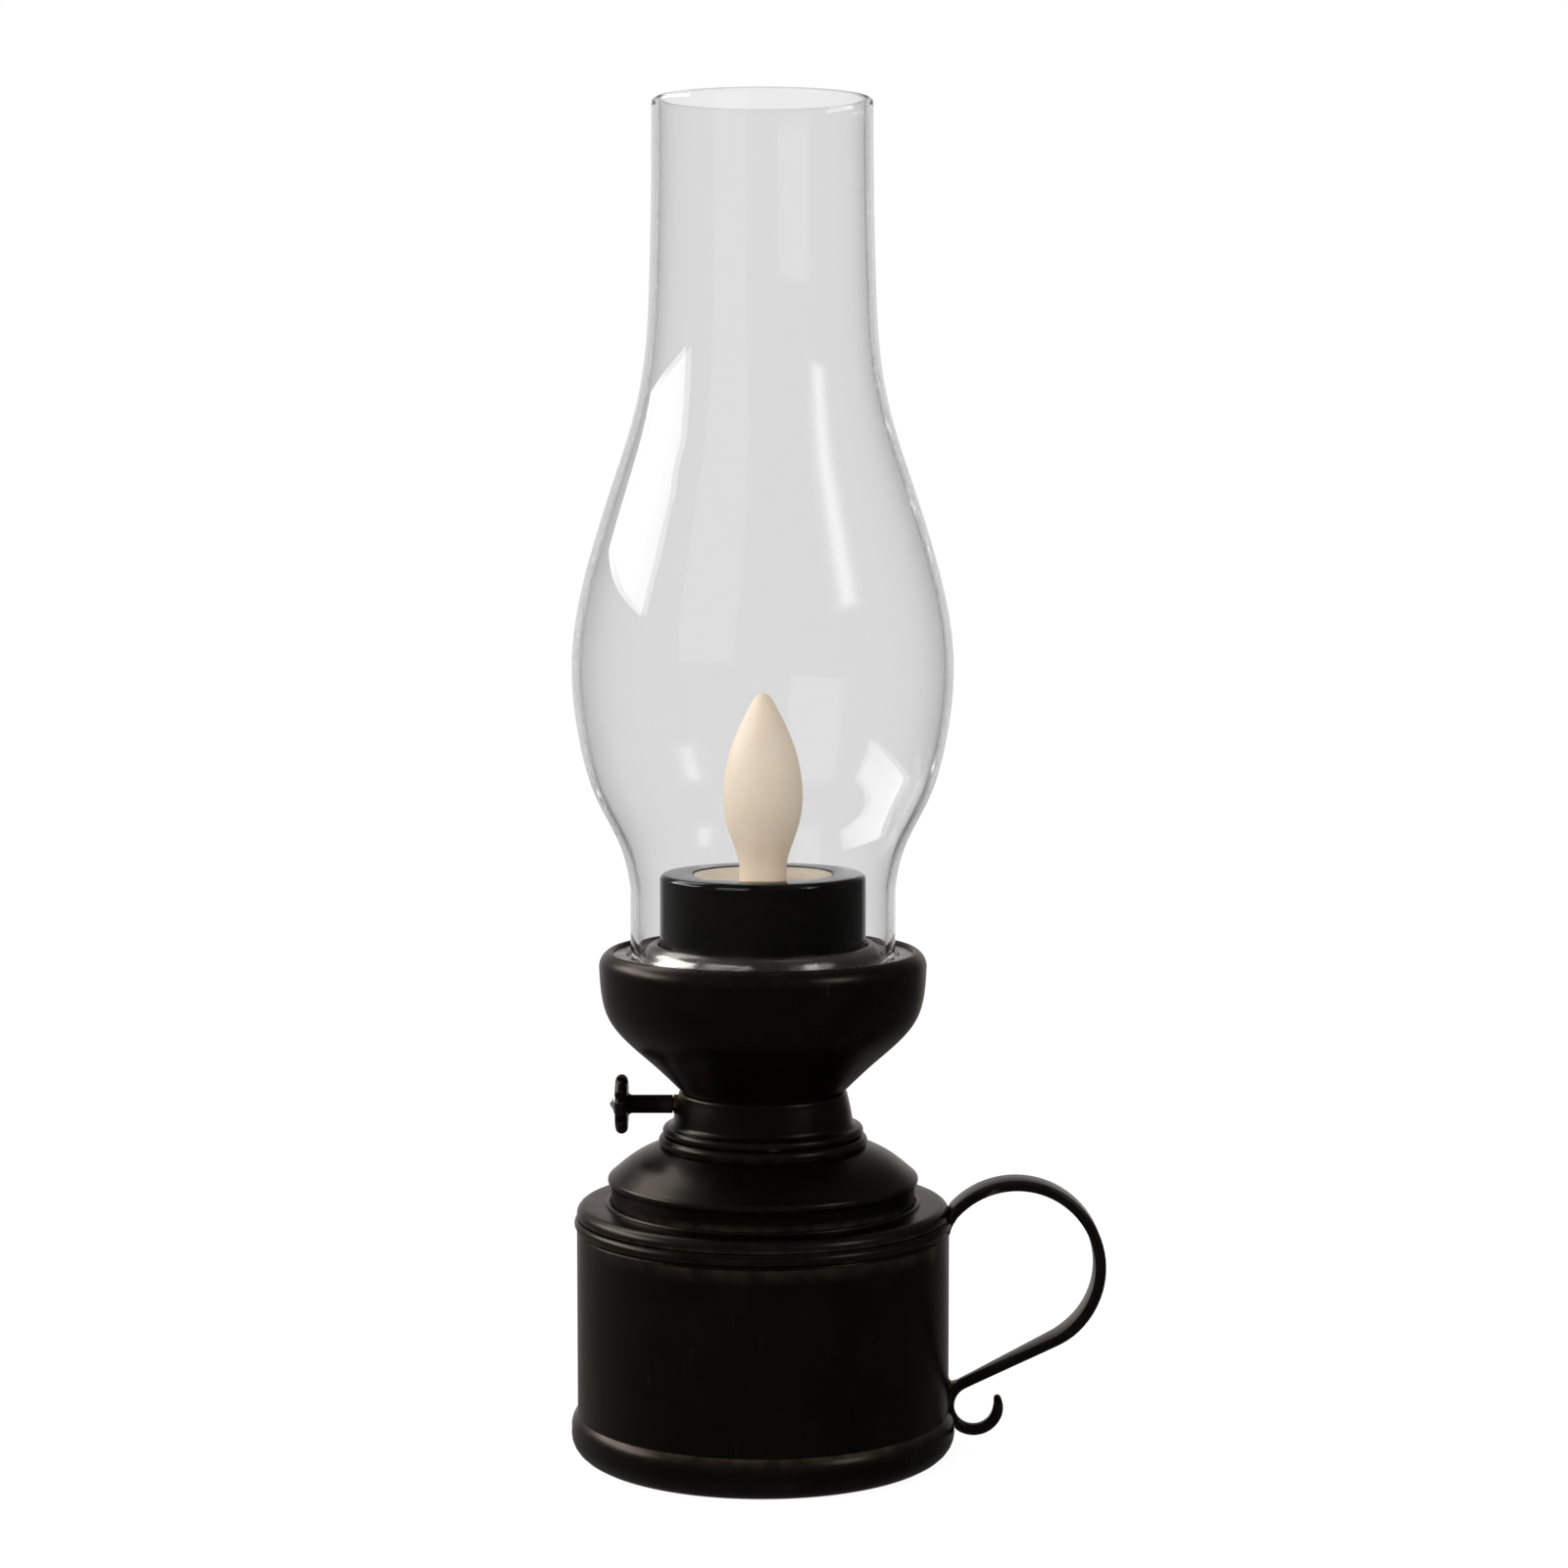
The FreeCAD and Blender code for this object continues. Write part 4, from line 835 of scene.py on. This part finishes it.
# %% Solder fillets
UNDER_ARCH = section((37.9, 48.2), (37.9, 45.3), (38.2, 45.3), curve((38.65, 46.8), (39.6, 48.4)))
OVER_CURL = section((38.0, 12.0), (39.0, 13.2), (39.9, 14.0), curve((38.75, 13.75), (38.3, 14.6)),
                    (38.0, 14.6))
solder = bmesh.new()
for half_width, places in ((3.3, UNDER_ARCH), (1.2, OVER_CURL)):
    outline = [solder.verts.new((x * MM, -half_width * MM, z * MM)) for x, z in places]
    side_view = solder.faces.new(outline)
    pushed = bmesh.ops.extrude_face_region(solder, geom=[side_view])["geom"]
    moved = [item for item in pushed if isinstance(item, bmesh.types.BMVert)]
    bmesh.ops.translate(solder, verts=moved, vec=(0, 2 * half_width * MM, 0))
bmesh.ops.recalc_face_normals(solder, faces=solder.faces)
finished("solder", solder, "handle_solder")

# %% [markdown]
# ## Floor and light
# The floor is a plain white table that glows softly, so it stays pale at every angle. Black lacquer
# and glass are mostly mirrors of what stands round them, so what they mirror is chosen with care.
# The floor isn't mirrored at all. The room is white to the eye and as soft light, but Light Path
# makes it dark in reflections, apart from a pale wall behind the lamp.
#
# The softboxes draw the highlights and light nothing else: a wide one on the left, a dimmer one
# further back on that side, and on the right four strips one behind the other. Each of these is
# wider and dimmer than the last, so the streak that they draw has a soft edge. One more lamp does
# the opposite: it lights the surfaces softly from the front and no reflection shows it.

# %% Floor
def white_table():
    """A white table top with a soft glow and the faintest mottle."""
    material, tree, shader = new_finish("white_table")
    mottle = spread(tree, noise(tree, 60), 0, 1)
    tree.links.new(blend(tree, mottle, (0.13, 0.13, 0.13), (0.11, 0.11, 0.11)),
                   shader.inputs["Base Color"])
    shader.inputs["Roughness"].default_value = 0.9
    shader.inputs["Emission Color"].default_value = (1, 1, 1, 1)
    shader.inputs["Emission Strength"].default_value = 0.93
    return material


TABLE_REACH = 6         # m from its middle to each side
table = bmesh.new()
bmesh.ops.create_grid(table, x_segments=1, y_segments=1, size=TABLE_REACH)
table_mesh = bpy.data.meshes.new("table")
table.to_mesh(table_mesh)
table.free()
table_mesh.materials.append(white_table())
floor = bpy.data.objects.new("table", table_mesh)
bpy.context.scene.collection.objects.link(floor)
floor.visible_glossy = False
floor.visible_diffuse = False
floor.visible_transmission = False
print("floor placed")

# %% Room
NEAR_GLOW, FAR_GLOW = 0.025, 0.13       # the room in a reflection, in front and behind
LEFT_SHARE, RIGHT_SHARE = 1.9, 0.6      # the left side is the brighter one
WALL_GLOW = 0.66                        # the pale wall behind the lamp


def room():
    """White to the eye and as soft light, but mostly dark in a reflection and bright only behind."""
    world = bpy.data.worlds.new("room")
    bpy.context.scene.world = world
    world.use_nodes = True
    world.cycles.sampling_method = "NONE"
    tree = world.node_tree
    background = tree.nodes["Background"]
    background.inputs["Strength"].default_value = 1.0
    coordinates = tree.nodes.new("ShaderNodeTexCoord")
    split = tree.nodes.new("ShaderNodeSeparateXYZ")
    tree.links.new(coordinates.outputs["Generated"], split.inputs["Vector"])
    far = spread(tree, split.outputs["Y"], NEAR_GLOW, FAR_GLOW, -0.4, 0.8)
    across = spread(tree, split.outputs["X"], LEFT_SHARE, RIGHT_SHARE, -0.8, 0.8)
    sides = combine(tree, "MULTIPLY", far, across)
    wall = spread(tree, split.outputs["Y"], 0, WALL_GLOW, 0.80, 0.99)
    above_table = spread(tree, split.outputs["Z"], 0, 1, -0.30, -0.12)
    wall_top = spread(tree, split.outputs["Z"], 1, 0, 0.18, 0.40)
    behind = combine(tree, "MULTIPLY", wall, combine(tree, "MULTIPLY", above_table, wall_top))
    path = tree.nodes.new("ShaderNodeLightPath")
    direct = spread(tree, path.outputs["Glossy Depth"], 1, 0, 0, 1)
    level = combine(tree, "MAXIMUM", direct, combine(tree, "ADD", sides, behind))
    tree.links.new(blend(tree, level, (0, 0, 0), (1, 1, 1)), background.inputs["Color"])


room()
print("room lit")

# %% Softboxes
AIM = Vector((0, 0, 195 * MM))


def softbox(name, azimuth, elevation, distance, width, height, glow):
    """A soft lamp that only reflections show; its azimuth is from the front, to the left."""
    lamp = bpy.data.lights.new(name, "AREA")
    lamp.shape = "RECTANGLE"
    lamp.size = width
    lamp.size_y = height
    lamp.energy = glow * math.pi * width * height
    box = bpy.data.objects.new(name, lamp)
    side, up = math.radians(azimuth), math.radians(elevation)
    away = Vector((-math.sin(side) * math.cos(up), -math.cos(side) * math.cos(up), math.sin(up)))
    box.location = AIM + away * distance
    box.rotation_euler = away.to_track_quat("Z", "Y").to_euler()
    box.visible_diffuse = False
    bpy.context.scene.collection.objects.link(box)
    return box


softbox("left_softbox", azimuth=104, elevation=22, distance=1.2, width=1.05, height=0.38, glow=6.5)
softbox("left_back", azimuth=134, elevation=40, distance=1.25, width=0.70, height=0.50, glow=3.0)
RIGHT_LAYERS = ((0.14, 2.4), (0.23, 1.6), (0.34, 1.1), (0.48, 0.6))     # width in m, and glow
for layer, (width, glow) in enumerate(RIGHT_LAYERS):
    softbox(f"right_softbox_{layer}", azimuth=-57, elevation=26, distance=1.2 + 0.01 * layer,
            width=width, height=0.34 + 0.03 * layer, glow=glow)
fill = softbox("soft_fill", azimuth=35, elevation=20, distance=1.2, width=0.8, height=0.8, glow=1.8)
fill.visible_glossy = False
fill.visible_diffuse = True

# %% [markdown]
# ## The camera
# A long lens from a little above table height, tilted slightly down, as for a catalogue picture. A
# tilt keeps the lens centred, where a shift would not.

# %% Camera
LENS = 80.0
DISTANCE, HEIGHT, ASIDE = 705 * MM, 201 * MM, 4.3 * MM
TILT = math.radians(5.14)
lens = bpy.data.cameras.new("camera")
lens.lens = LENS
lens.sensor_width = 36.0
lens.clip_end = 50      # m, well past the table's far side
camera = bpy.data.objects.new("camera", lens)
camera.location = (ASIDE, -DISTANCE, HEIGHT)
camera.rotation_euler = (math.pi / 2 - TILT, 0, 0)
bpy.context.scene.collection.objects.link(camera)
bpy.context.scene.camera = camera
bpy.context.scene.view_settings.view_transform = "Standard"
print("camera", round(DISTANCE, 3), "m away")
